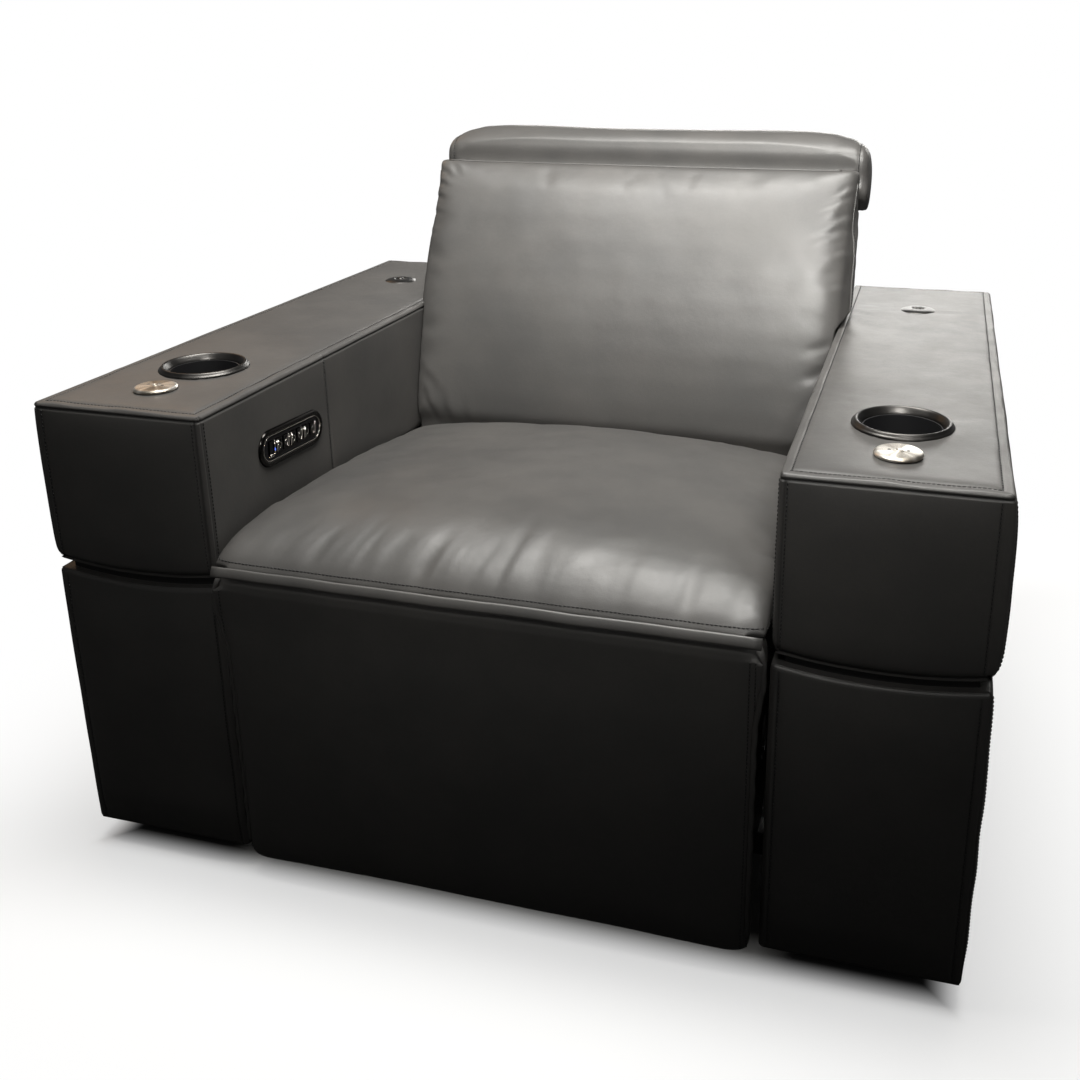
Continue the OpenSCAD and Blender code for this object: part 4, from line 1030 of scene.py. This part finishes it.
@dataclass
class Fittings:
    """The metal fittings in the top of one arm: cup ring, front dock cap and rear dock."""

    side: Side
    chrome: bpy.types.Material
    dock: bpy.types.Material
    middle: float = 430
    top: float = 595
    cup_y: float = 175
    front_y: float = 78
    rear_y: float = 738

    @property
    def x(self) -> float:
        """The x of all three."""
        return self.middle * self.side.value

    def hand_over(self, made: bpy.types.Object, node: str) -> None:
        """Attaches a fitting to the base body in place of its CAD node, which it hides."""
        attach(made, "base")
        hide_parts(node)
        log.info("%s: %d faces", made.name, len(made.data.polygons))

    def cup_ring(self) -> None:
        """Spins the ring: rolled outer lip, a crest and a throat that falls into the well."""
        profile = (
            (43.0, -9.0), (44.9, -9.0), (45.0, 0.2), (54.4, 0.1), (55.0, 0.7), (55.0, 2.0), (54.4, 3.1), (53.3, 3.7),
            (52.5, 4.6), (51.6, 6.0), (50.6, 6.8), (49.6, 7.0), (48.6, 6.6), (47.4, 5.4), (46.2, 3.6),
            (45.0, 1.7), (44.0, 0.2), (43.3, -1.8), (43.0, -4.5), (43.0, -9.0)
        )
        shape = Shape().lathe(profile, (self.x, self.cup_y, self.top), 128)
        made = shape.finish(f"{self.side.word}_cup_ring_lip", self.chrome)
        self.hand_over(made, f"{self.side.word}_cup_ring")

    def front_cap(self) -> None:
        """Spins the front cap: a turned disc with a raised middle ring, bevelled rim and two dimples."""
        profile = (
            (0.0, 4.6), (2.4, 4.6), (2.9, 5.1), (3.8, 5.5), (4.8, 5.3), (5.4, 4.8), (9.0, 4.85), (15.0, 4.75),
            (20.5, 4.45), (22.6, 4.1), (23.6, 3.5), (24.5, 2.6), (25.0, 1.9), (25.0, 0.5), (24.5, 0.0), (12.0, 0.0),
            (12.0, -18.0), (0.0, -18.0)
        )
        centre = metres(Vector((self.x, self.front_y, 0)))
        steel = TurnedSteel(f"turned_steel_{self.side.word}", (centre.x, centre.y)).material()
        shape = Shape().lathe(profile, (self.x, self.front_y, self.top + 1), 96)
        made = shape.finish(f"{self.side.word}_front_dock_disc", steel)
        self.hand_over(made, f"{self.side.word}_front_dock_cap")
        shape = Shape()
        for away in (-9.5, 9.5):
            shape.lathe(((0, 0.05), (1.1, 0.05), (1.5, 0.25), (1.8, 0.2), (2.0, -0.1)),
                        (self.x + away, self.front_y, self.top + 5.8), 20)
        made = shape.finish(f"{self.side.word}_front_dock_dimples", self.dock)
        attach(made, "base")

    def rear_dock(self) -> None:
        """Spins the rear dock: a low dome, a ring of sunken arcs and a domed post."""
        profile = (
            (0.0, 6.3), (2.2, 6.2), (3.9, 5.6), (4.7, 4.6), (5.0, 3.6), (5.2, 2.2), (8.6, 2.0), (9.0, 4.2),
            (12.0, 4.45), (16.0, 4.2), (20.0, 3.6), (23.2, 2.7), (25.4, 1.5), (26.5, 0.3), (26.3, -0.2), (15.8, -0.2),
            (15.8, -18.0), (0.0, -18.0)
        )
        centre = Vector((self.x, self.rear_y, self.top))

        def bridge(place: Vector) -> Vector:
            """Fills the ring's groove in front of and behind the post, so that two arcs are left."""
            away = place - centre
            radius = math.hypot(away.x, away.y)
            if 5.05 < radius < 8.95 and abs(away.y) > 0.62 * radius:
                return place + Vector((0, 0, 2.0))
            return place

        shape = Shape().lathe(profile, centre, 96).warp(bridge)
        made = shape.finish(f"{self.side.word}_rear_dock_dome", self.dock)
        self.hand_over(made, f"{self.side.word}_rear_dock")

    def build(self) -> None:
        """Builds all three."""
        self.cup_ring()
        self.front_cap()
        self.rear_dock()


@dataclass
class ControlPanel:
    """The bezel and the key faces of the control panel in the left arm's inner face."""

    rim: bpy.types.Material
    key: bpy.types.Material
    lamp: bpy.types.Material
    face: float = -320
    middle: tuple[float, float] = (181, 510)
    tilt: float = 3.5
    length: float = 149
    height: float = 47.5
    wide: float = 8
    pitch: float = 16
    key_size: tuple[float, float] = (12.4, 18.0)

    def at(self, rise: float, along: float, up: float) -> Vector:
        """A place on the panel: its rise off the arm's face, and the place along and up the panel."""
        cos, sin = math.cos(math.radians(self.tilt)), math.sin(math.radians(self.tilt))
        return Vector((self.face + rise, self.middle[0] + along * cos + up * sin, self.middle[1] + up * cos - along * sin))

    def ring(self, half_length: float, half_height: float, radius: float, rise: float) -> list[Vector]:
        """A rounded rectangle of places round the panel's middle."""
        places = []
        for quarter, (sy, sz) in enumerate(((1, 1), (-1, 1), (-1, -1), (1, -1))):
            for step in range(9):
                angle = math.radians(90 * quarter + 90 * step / 8)
                places.append(self.at(rise, sy * (half_length - radius) + radius * math.cos(angle),
                                      sz * (half_height - radius) + radius * math.sin(angle)))
        return places

    def bezel(self) -> None:
        """Sweeps the rounded rim round the panel."""
        half = (self.height - self.wide) / 2
        path = self.ring((self.length - self.wide) / 2, half, half - 0.01, 0.6)
        shape = Shape().sweep(path, [Vector((1, 0, 0))] * len(path), self.wide / 2, 3.6, closed=True, sides=20)
        made = shape.finish("control_panel_rim", self.rim)
        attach(made, "base")
        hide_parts("control_bezel")

    def key_face(self, number: int, name: str) -> None:
        """Adds a key's bright edge, and its arrow or lamp."""
        along = (number - 3) * self.pitch
        w, h = self.key_size[0] / 2 - 0.9, self.key_size[1] / 2 - 0.9
        out = Vector((1, 0, 0))
        shape = Shape()

        def line(corners: Sequence[tuple[float, float]], radius: float, closed: bool) -> None:
            """Sweeps a fine bright bar through corners of the key."""
            path = [self.at(3.75, along + y, z) for y, z in corners]
            shape.sweep(path, [out] * len(path), radius, 0.5, closed, 8)

        if number == 0:
            line(((w, h), (w, 0), (w, -h), (0, -h - 0.4), (-w, -h - 0.4)), 0.6, False)
        else:
            first = number % 2 == 1
            edge = -w if first else w
            line(((edge, -h), (edge, 0), (edge, h)), 0.9, False)
            shape.bead(self.at(4.1, along + edge, h * 0.86), Vector((0, 0, 1)), out, (1.7, 1.3, 0.8))
            tip, base = (w * 0.95, -w * 0.55) if first else (-w * 0.95, w * 0.45)
            line(((base, h * 0.82), (tip, 0), (base, -h * 0.82)), 0.5, True)
        made = shape.finish(f"key_edges_{name}", self.key)
        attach(made, f"{name}_key")
        if number == 0:
            spot = Shape().bead(self.at(3.9, along + w, -h * 0.35), Vector((0, 0, 1)), out, (2.6, 1.1, 0.5))
            lit = spot.finish("power_key_lamp", self.lamp)
            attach(lit, "power_key")

    def build(self) -> None:
        """Builds the bezel and every key face."""
        self.bezel()
        half = self.height / 2 - self.wide
        path = self.ring(self.length / 2 - self.wide, half, half - 0.01, 2.9)
        edge = Shape().sweep(path, [Vector((1, 0, 0))] * len(path), 0.4, 0.4, closed=True, sides=8)
        made = edge.finish("control_panel_inner_edge", self.key)
        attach(made, "base")
        names = ("power", "recline", "upright", "headrest_up", "headrest_down", "lumbar_out", "lumbar_in")
        for number, name in enumerate(names):
            self.key_face(number, name)
        path = [self.at(2.1, -54 + 2 * i, -self.key_size[1] / 2 - 2.6) for i in range(7)]
        bar = Shape().sweep(path, [Vector((1, 0, 0))] * 7, 0.5, 0.4).finish("panel_underline", self.key)
        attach(bar, "base")
        log.info("control panel ready")


# Cushions


@dataclass
class Cushion:
    """A padded leather form: the CAD solid's skin remeshed, swollen by a cloth simulation and worked."""

    name: str
    node: str
    body: str
    leather: bpy.types.Material
    half: float = 317.5
    free: Callable[[Vector], float] = lambda place: 1.0
    voxel: float = 6.5
    start: float = 2.5
    cap: float = 6.0
    pressure: float = 4.0
    fill: float = 0.85

    def skin(self) -> bpy.types.Object:
        """Copies the CAD solid's mesh and remeshes it evenly."""
        mesh = frame["nodes"][self.node].data.copy()
        made = bpy.data.objects.new(self.name, mesh)
        bpy.context.scene.collection.objects.link(made)
        shape = bmesh.new()
        shape.from_mesh(mesh)
        bmesh.ops.remove_doubles(shape, verts=shape.verts[:], dist=1e-5)
        shape.to_mesh(mesh)
        shape.free()
        remesh = made.modifiers.new("remesh", "REMESH")
        remesh.mode = "VOXEL"
        remesh.voxel_size = self.voxel * 0.001
        bake(made)
        return made

    def soften(self, made: bpy.types.Object, times: int, factor: float = 0.5) -> None:
        """Smooths the skin a few times."""
        shape = bmesh.new()
        shape.from_mesh(made.data)
        for _ in range(times):
            bmesh.ops.smooth_vert(
                shape, verts=shape.verts[:], factor=factor, use_axis_x=True, use_axis_y=True, use_axis_z=True
            )
        shape.to_mesh(made.data)
        shape.free()

    def shrink(self, made: bpy.types.Object, amount: float) -> None:
        """Draws the skin in along its normals."""
        made.data.update()
        steps = [v.normal.copy() for v in made.data.vertices]
        for vert, normal in zip(made.data.vertices, steps):
            vert.co -= normal * amount * 0.001

    def inflate(self, made: bpy.types.Object) -> None:
        """Swells the skin with Cloth and pressure, each point moving at most the cap."""
        home = [v.co.copy() for v in made.data.vertices]
        cloth = made.modifiers.new("cloth", "CLOTH")
        settings = cloth.settings
        settings.quality = 5
        settings.mass = 0.3
        settings.tension_stiffness = 15
        settings.compression_stiffness = 12
        settings.shear_stiffness = 5
        settings.bending_stiffness = 1.2
        settings.use_pressure = True
        settings.uniform_pressure_force = self.pressure
        settings.effector_weights.gravity = 0
        cloth.point_cache.frame_start = 1
        cloth.point_cache.frame_end = 20
        scene = bpy.context.scene
        for number in range(1, 21):
            scene.frame_set(number)
        bake(made)
        scene.frame_set(1)
        moved = 0.0
        for vert, rest in zip(made.data.vertices, home):
            step = vert.co - rest
            length = step.length
            limit = self.cap * 0.001
            if length > limit:
                step *= limit / length
                vert.co = rest + step
            moved = max(moved, length)
        log.info("%s: cloth moved up to %.1f mm", self.name, moved * 1000)

    def work(self, made: bpy.types.Object, sculpt: Sculptor) -> None:
        """Moves each vertex by what the function says of its place and normal."""
        mesh = made.data
        mesh.update()
        steps = [(millimetres(v.co), v.normal.copy()) for v in mesh.vertices]
        for vert, (place, normal) in zip(mesh.vertices, steps):
            vert.co = metres(sculpt(place, normal))
        mesh.update()

    def refine(self, made: bpy.types.Object) -> None:
        """Subdivides the skin once."""
        level = made.modifiers.new("refine", "SUBSURF")
        level.levels = 1
        level.render_levels = 1
        bake(made)

    def stretch(self, made: bpy.types.Object) -> None:
        """Stretches the skin across until it is as wide as it should be."""
        reach = max(abs(v.co.x) for v in made.data.vertices) * 1000
        for vert in made.data.vertices:
            vert.co.x *= self.half / reach

    def build(self, sculpt: Sculptor, settle: Callable[[bpy.types.Object], None] | None = None) -> bpy.types.Object:
        """Args:
            sculpt: moves each vertex by its place and normal.
            settle: reshapes the swollen skin before it is refined.

        Returns:
            The finished piece.
        """
        made = self.skin()
        self.soften(made, 2)
        home = [v.co.copy() for v in made.data.vertices]
        self.shrink(made, self.start)
        self.inflate(made)
        self.soften(made, 4)
        for vert, rest in zip(made.data.vertices, home):
            vert.co = rest.lerp(vert.co, self.free(millimetres(rest)))
        self.stretch(made)
        if settle:
            settle(made)
        self.refine(made)
        self.work(made, sculpt)
        for polygon in made.data.polygons:
            polygon.use_smooth = True
        made.data.materials.clear()
        made.data.materials.append(self.leather)
        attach(made, self.body)
        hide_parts(self.node)
        log.info("%s: %d faces", self.name, len(made.data.polygons))
        return made


@dataclass
class Seat:
    """The seat cushion: front roll with soft folds over a topstitched lip."""

    leather: bpy.types.Material
    half: float = 316.5
    seam: float = 417
    front: float = -9
    rear: float = 530

    def fold(self, x: float, up: float) -> float:
        """How far the soft folds that rise from the front seam lift the leather.

        Args:
            x: the place across.
            up: the distance up the roll from the seam.

        Returns:
            The lift, a groove where it is negative.
        """
        lean = 0.42 - 0.0009 * (x + 200)
        across = x - lean * up
        broad = rough(Vector((across, 0.22 * up, 0)), 27, 4)
        narrow = rough(Vector((across, 0.18 * up, 60)), 12, 9)
        reach = 62 + 26 * rough(Vector((x, 0, 30)), 55, 12)
        share = ramp(up, 1, 26) * (1 - ramp(up, 0.45 * reach, 1.7 * reach)) * (0.35 + 0.65 * ramp(x, -270, -120))
        return share * (1.15 * broad - 0.5 * abs(broad) + 0.34 * narrow)

    def build(self, hand: Seamstress) -> bpy.types.Object:
        """Makes the cushion, its lip and its stitches."""

        def sculpt(place: Vector, normal: Vector) -> Vector:
            """Folds the front roll, ripples the crown and keeps the cushion between the arms."""
            x, y, z = place
            moved = place.copy()
            if normal.z > -0.2 and z > self.seam - 4:
                up = math.hypot(max(0.0, z - self.seam), 0.9 * max(0.0, y - self.front) * ramp(z, 430, 470))
                moved += normal * self.fold(x, up)
                moved += normal * (0.9 * rough(place, 120, 2) + 0.35 * rough(place, 38, 6)) * ramp(up, 5, 60)
                side = self.half - abs(x)
                moved.z += 0.8 * math.sin(y / 17 + 2 * rough(place, 60, 4)) * hill(side, 24) * ramp(up, 20, 80)
            if y < 60 and z < self.seam + 60:
                moved.y -= 7.0 * math.exp(-max(0.0, z - self.seam) / 14)
            if y < 45:
                moved.z = self.seam + 0.5 if z < self.seam + 3.5 else max(moved.z, self.seam + 0.6)
            limit = self.half + 1.5
            moved.x = max(-limit, min(limit, moved.x))
            moved.y = max(self.front - 11, min(self.rear + 1, moved.y))
            return moved

        def free(place: Vector) -> float:
            """Holds the front edge where it is and frees the rest."""
            return 1.0 if place.y > 110 else ramp(place.z, self.seam + 2, self.seam + 60)

        made = Cushion("seat_cushion_leather", "seat_cushion", "base", self.leather, free=free, voxel=7).build(sculpt)
        skin = Surface(made)
        front = Vector((0, -1, 0))
        ends = 314
        lip = [Vector((-ends + 2 * ends * i / 60, self.front - 7.8, self.seam - 0.6)) for i in range(61)]
        lip = [place + Vector((0, 0.5 * rough(place, 60, 3), 0.6 * rough(place, 45, 17))) for place in lip]
        strip = Shape().sweep(lip, [Vector((0, -0.9, 0.44))] * len(lip), 6.6, 1.5).finish("seat_front_lip", self.leather)
        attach(strip, "base")
        edge = metres(Vector((0, self.front, self.seam + 5)))
        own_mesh(strip)
        path = [Vector((-ends, 0, self.seam + 9.6)), Vector((ends, 0, self.seam + 9.6))]
        hand.sew(skin.row(path, front, 4.6))
        for sign in (-1, 1):
            side = Vector((sign, 0, 0))
            path = [Vector((sign * self.half, y, self.seam + 6 + 0.1 * y)) for y in range(4, 56, 8)]
            hand.sew(skin.row(path, side))
        return made


@dataclass
class Footrest:
    """The footrest panel below the seat: a padded front with seams down its sides."""

    leather: bpy.types.Material
    half: float = 317.4
    hinge: tuple[float, float] = (7, 395)

    def build(self, hand: Seamstress) -> bpy.types.Object:
        """Makes the panel, its side welts and stitches."""
        table = (
            (-210, 330, -8, 34, 13, 0.9), (-120, 340, 6, 40, 12, 0.8), (-40, 345, -6, 46, 12, 1.1),
            (-6, 335, 4, 40, 11, 1.0), (26, 345, -10, 44, 12, 1.2), (92, 350, -14, 40, 11, 1.1),
            (150, 345, -8, 34, 12, 0.9), (214, 340, 8, 34, 12, 0.8)
        )
        folds = [Fold((x, z), lean, length, width, depth) for x, z, lean, length, width, depth in table]

        def sculpt(place: Vector, normal: Vector) -> Vector:
            """Ripples the front under the seam and keeps the panel between the arms."""
            x, y, z = place
            moved = place.copy()
            if normal.y < -0.3:
                lift = sum(f.height(x, z) for f in folds) + 0.8 * rough(place, 110, 7)
                moved += normal * lift * ramp(self.half - abs(x), 4, 30)
            moved.x = max(-self.half, min(self.half, moved.x))
            moved.z = max(moved.z, 14)
            if normal.y < -0.3 and z < self.hinge[1]:
                moved.y += (-15.2 - moved.y) * ramp(z, 325, 390)
            away = Vector((y - self.hinge[0], z - self.hinge[1]))
            if z > self.hinge[1] and away.x < 0 and away.length > 12:
                cos, sin = abs(away.x) / away.length, away.y / away.length
                away *= 1 / (cos ** 2.3 + sin ** 2.3) ** (1 / 2.3)
                moved.y, moved.z = self.hinge[0] + away.x, self.hinge[1] + away.y
            return moved

        def free(place: Vector) -> float:
            """Holds the top roll where it is and frees the rest."""
            return 1 - ramp(place.z, 300, 370)

        soft = Cushion("footrest_panel_leather", "footrest_pad", "footrest", self.leather, half=self.half, free=free, cap=4)
        made = soft.build(sculpt)
        skin = Surface(made)
        front = Vector((0, -1, 0))
        for sign in (-1, 1):
            for away in (9, 15) if sign > 0 else (9,):
                x = sign * (self.half - away)
                hand.sew(skin.row([Vector((x, 0, 392)), Vector((x, 0, 30))], front))
            side = Vector((sign, -0.6, 0)).normalized()
            path = [Vector((sign * (self.half - 2.5), -11, 409 - 9 * i)) for i in range(42)]
            row = skin.row(path, side, 9)
            waves = [(place + side * (0.7 * math.sin(i * 1.7)), normal) for i, (place, normal) in enumerate(row)]
            hand.welt(waves, 4.2, 3.2, 0.3)
        return made


@dataclass
class Back:
    """The reclining back: crowned cushion with pleats, side seams and a crisp top edge."""

    leather: bpy.types.Material
    foot: tuple[float, float] = (533, 417)
    lean: float = 22.9
    half: float = 337
    length: float = 429

    def local(self, place: Vector) -> tuple[float, float]:
        """The place's distance behind the face and its distance up the slope."""
        cos, sin = math.cos(math.radians(self.lean)), math.sin(math.radians(self.lean))
        y, z = place.y - self.foot[0], place.z - self.foot[1]
        return y * cos - z * sin, y * sin + z * cos

    def at(self, x: float, behind: float, up: float) -> Vector:
        """A place given in the back's own frame."""
        cos, sin = math.cos(math.radians(self.lean)), math.sin(math.radians(self.lean))
        return Vector((x, self.foot[0] + behind * cos + up * sin, self.foot[1] - behind * sin + up * cos))

    @property
    def forward(self) -> Vector:
        """Out of the back's face."""
        return (self.at(0, -1, 0) - self.at(0, 0, 0)).normalized()

    @property
    def upward(self) -> Vector:
        """Up the back's slope."""
        return (self.at(0, 0, 1) - self.at(0, 0, 0)).normalized()

    def narrow(self, made: bpy.types.Object) -> None:
        """Gives a piece its own copy of its mesh."""
        317 / self.half
        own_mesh(made)

    def build(self, hand: Seamstress) -> bpy.types.Object:
        """Makes the cushion with its pleats, top edge, side seams and stitches."""
        table = (
            (-316, 402, 58, 16, 4.5, 1.5), (-318, 382, 66, 15, 4.5, 1.6), (-320, 360, 72, 15, 4.5, 1.3),
            (-322, 334, 78, 16, 5, 1.2), (-324, 300, 82, 16, 5, 0.9), (-300, 412, 36, 18, 6, 1.0),
            (-296, 26, 26, 26, 6, 1.4), (-268, 20, 14, 24, 7, 1.2), (-236, 16, 6, 22, 8, 1.0), (-300, 70, 44, 26, 8, 1.0),
            (312, 392, -50, 20, 5, 1.6), (304, 372, -58, 24, 5.5, 1.5), (312, 350, -62, 20, 5, 1.3), (306, 326, -66, 24, 6, 1.2),
            (316, 300, -70, 18, 5, 1.0), (314, 250, -76, 20, 6, 0.8), (308, 160, -66, 26, 7, 1.0), (302, 120, -60, 30, 8, 1.1),
            (296, 76, -48, 30, 8, 1.0), (270, 40, -30, 30, 9, 0.9), (230, 20, -14, 26, 9, 0.8),
            (-20, 396, 24, 22, 9, 0.5), (40, 392, 30, 26, 9, 0.6), (86, 396, -18, 22, 9, 0.5), (150, 392, 30, 24, 10, 0.4),
            (-140, 398, 16, 20, 10, 0.4)
        )
        folds = [Fold((x, up), lean, length, width, depth) for x, up, lean, length, width, depth in table]
        strip = 49

        def sculpt(place: Vector, normal: Vector) -> Vector:
            """Pleats the face, sharpens the top edge and keeps clear of the arms."""
            behind, up = self.local(place)
            moved = place.copy()
            facing = normal.dot(self.forward)
            if facing > 0.1:
                lift = sum(f.height(place.x, up) for f in folds) + 1.0 * rough(place, 150, 11) + 0.3 * rough(place, 50, 5)
                edge = ramp(self.half - abs(place.x), 0, 18)
                moved += normal * lift * (0.35 + 0.65 * edge)
            elif abs(normal.x) > 0.6 and up > 0:
                moved.x += math.copysign(0.7 * math.sin(up / 9 + 2 * rough(place, 50, 9)), place.x) * hill(behind - 10, 30)
            limit = 318 + (self.half - 318) * ramp(place.z, 588, 618)
            moved.x = max(-limit, min(limit, moved.x))
            after, high = self.local(moved)
            if high > 391 and after > strip - 12:
                moved += self.forward * max(0.0, after - strip + 1.5) * (after < strip + 12)
                moved -= self.upward * (high - 391) * (after > strip)
            return moved

        def settle(made: bpy.types.Object) -> None:
            """Lifts the front strip's top to its height."""
            rows = [(vert, *self.local(millimetres(vert.co))) for vert in made.data.vertices]
            lift = self.length - max(up for _, behind, up in rows if behind < 40)
            for vert, behind, up in rows:
                vert.co += self.upward * 0.001 * lift * ramp(up, 230, 400) * (1 - ramp(behind, 40, 56))

        wide = Cushion("back_cushion_leather", "back_cushion", "back", self.leather, half=self.half, voxel=6.5)
        made = wide.build(sculpt, settle)
        self.narrow(made)
        hand.settle = self.narrow
        skin = Surface(made)
        path = [self.at(-314 + 628 * i / 40, 0, self.length - 6) for i in range(41)]
        row = skin.row(path, self.forward, 9)
        hand.welt(row, 1.5, 1.3, 0.3)
        for sign in (-1, 1):
            side = Vector((sign, 0, 0))
            path = [self.at(sign * self.half, 14, 408 - 9 * i) for i in range(44)]
            hand.welt(skin.row(path, side, 9), 1.9, 1.3, 0.1)
            path = [self.at(sign * self.half, 19.5, 406 - 9 * i) for i in range(43)]
            hand.sew(skin.row(path, side))
        return made


@dataclass
class Headrest:
    """The headrest roll: rounded shoulders, seamed ends and a soft front."""

    leather: bpy.types.Material
    back: Back
    half: float = 344

    def build(self, hand: Seamstress) -> bpy.types.Object:
        """Makes the roll and the seams round its ends."""
        table = (
            (-300, 440, 30, 26, 9, 1.2), (-262, 430, -24, 30, 10, 1.0), (280, 450, -12, 26, 9, 1.0),
            (-120, 436, 10, 24, 12, 0.6), (60, 432, -8, 24, 12, 0.6), (190, 440, 12, 24, 12, 0.6)
        )
        folds = [Fold((x, up), lean, length, width, depth) for x, up, lean, length, width, depth in table]

        def sculpt(place: Vector, normal: Vector) -> Vector:
            """Dimples the front and draws the end seams in."""
            behind, up = self.back.local(place)
            moved = place.copy()
            if normal.dot(self.back.forward) > 0:
                moved += normal * (sum(f.height(place.x, up) for f in folds) + 0.6 * rough(place, 120, 13))
                share = ramp(normal.dot(self.back.forward), 0.0, 0.6)
                moved += self.back.forward * (8 * hill(up - 462, 24) - 3 * hill(up - 425, 14)) * share
            moved -= normal * 1.0 * hill(abs(place.x) - self.half + 17, 2.6)
            limit = self.half + 1.0
            moved.x = max(-limit, min(limit, moved.x))
            after, high = self.back.local(moved)
            if high < 394.9:
                moved += self.back.upward * (394.9 - high)
            least = 50.2 - 7.5 * ramp(high, 434, 464)
            if after < least:
                moved -= self.back.forward * (least - after)
            return moved

        made = Cushion("headrest_leather", "headrest_pad", "headrest", self.leather, half=344, voxel=6, cap=4).build(sculpt)
        skin = Surface(made)
        for sign in (-1, 1):
            centre = self.back.at(sign * (self.half - 17), 100, 445)
            row: Row = []
            for i in range(90):
                angle = math.tau * i / 90
                out = self.back.forward * math.cos(angle) + self.back.upward * math.sin(angle)
                hit = skin.drop(centre, out, 110)
                if hit:
                    row.append(hit)
            hand.sew(row[::1])
        return made


# Mechanism and carried-over solids


@dataclass
class Dresser:
    """Gives the CAD nodes that stay their materials."""

    finishes: Mapping[str, bpy.types.Material]

    def dress(self) -> None:
        """Assigns each shown CAD node the finish of its record slot."""
        slots = {part["node"]: part["material_slot"] for part in frame["record"]["subparts"]}
        for name, made in frame["nodes"].items():
            finish = self.finishes.get(name) or self.finishes[slots[name]]
            if not made.data.materials:
                made.data.materials.append(finish)
            for slot in made.material_slots:
                slot.link = "OBJECT"
                slot.material = finish
        log.info("dressed %d nodes", len(frame["nodes"]))


def main() -> None:
    """Builds the scene piece by piece."""
    logging.basicConfig(level=logging.INFO, format="%(relativeCreated)d %(name)s: %(message)s")
    Studio().build()
    leather = Leather().material()
    thread = Thread().material()
    chrome = Metal("dark_chrome", 0.05, 0.04, 0.36, marks=0.000006, scale=90).material()
    dock = Metal("dock_metal", 0.07, 0.03, 0.36).material()
    key = Metal("key_metal", 0.6, 0.06, 0.2).material()
    gloss = Plastic("gloss_black", (0.004, 0.004, 0.005), 0.12, 0.00001, 200, gloss=0.14).material()
    black = Plastic("black_plastic", (0.009, 0.009, 0.010), 0.45).material()
    finishes = {
        "leather": leather, "plywood": Plywood().material(), "dark_chrome": chrome, "dock_metal": dock,
        "key_metal": Metal("key_body", 0.02, 0.0, 0.22).material(), "gloss_black": gloss, "black_plastic": black,
        "brushed_steel": Metal("brushed_steel", 0.55, 0.04, 0.3).material(),
        "foot_plastic": Plastic("foot_plastic", (0.012, 0.012, 0.012), 0.6).material(),
        "circuit_board": Plastic("circuit_board", (0.01, 0.09, 0.03), 0.3, 0.0001, 300).material(),
        "black_steel": Plastic("black_steel", (0.016, 0.016, 0.017), 0.42, 0.0001, 1400).material(),
        "zinc_steel": Metal("zinc_steel", 0.42, 0.02, 0.4, scale=60).material(),
        "chrome": Metal("chrome", 0.7, 0.01, 0.12).material(),
        "back_frame": Plastic("back_lining", (0.012, 0.012, 0.012), 0.8, 0.0002, 700, gloss=0.3).material(),
    }
    Dresser(finishes).dress()
    hands = {body: Seamstress(body, thread, leather) for body in ("base", "footrest", "back", "headrest")}
    for side in Side:
        arm = ArmBox(side, leather)
        arm.sew(arm.upper(), arm.lower(), hands["base"])
        Fittings(side, chrome, dock).build()
    lamp = Lamp("power_light", (0.1, 0.2, 1.0, 1.0), 2.2).material()
    ControlPanel(Metal("bezel_chrome", 0.022, 0.05, 0.16, scale=60).material(), key, lamp).build()
    Seat(leather).build(hands["base"])
    Footrest(leather).build(hands["footrest"])
    back = Back(leather)
    back.build(hands["back"])
    Headrest(leather, back).build(hands["headrest"])
    for hand in hands.values():
        hand.finish()


if __name__ == "__main__":
    main()
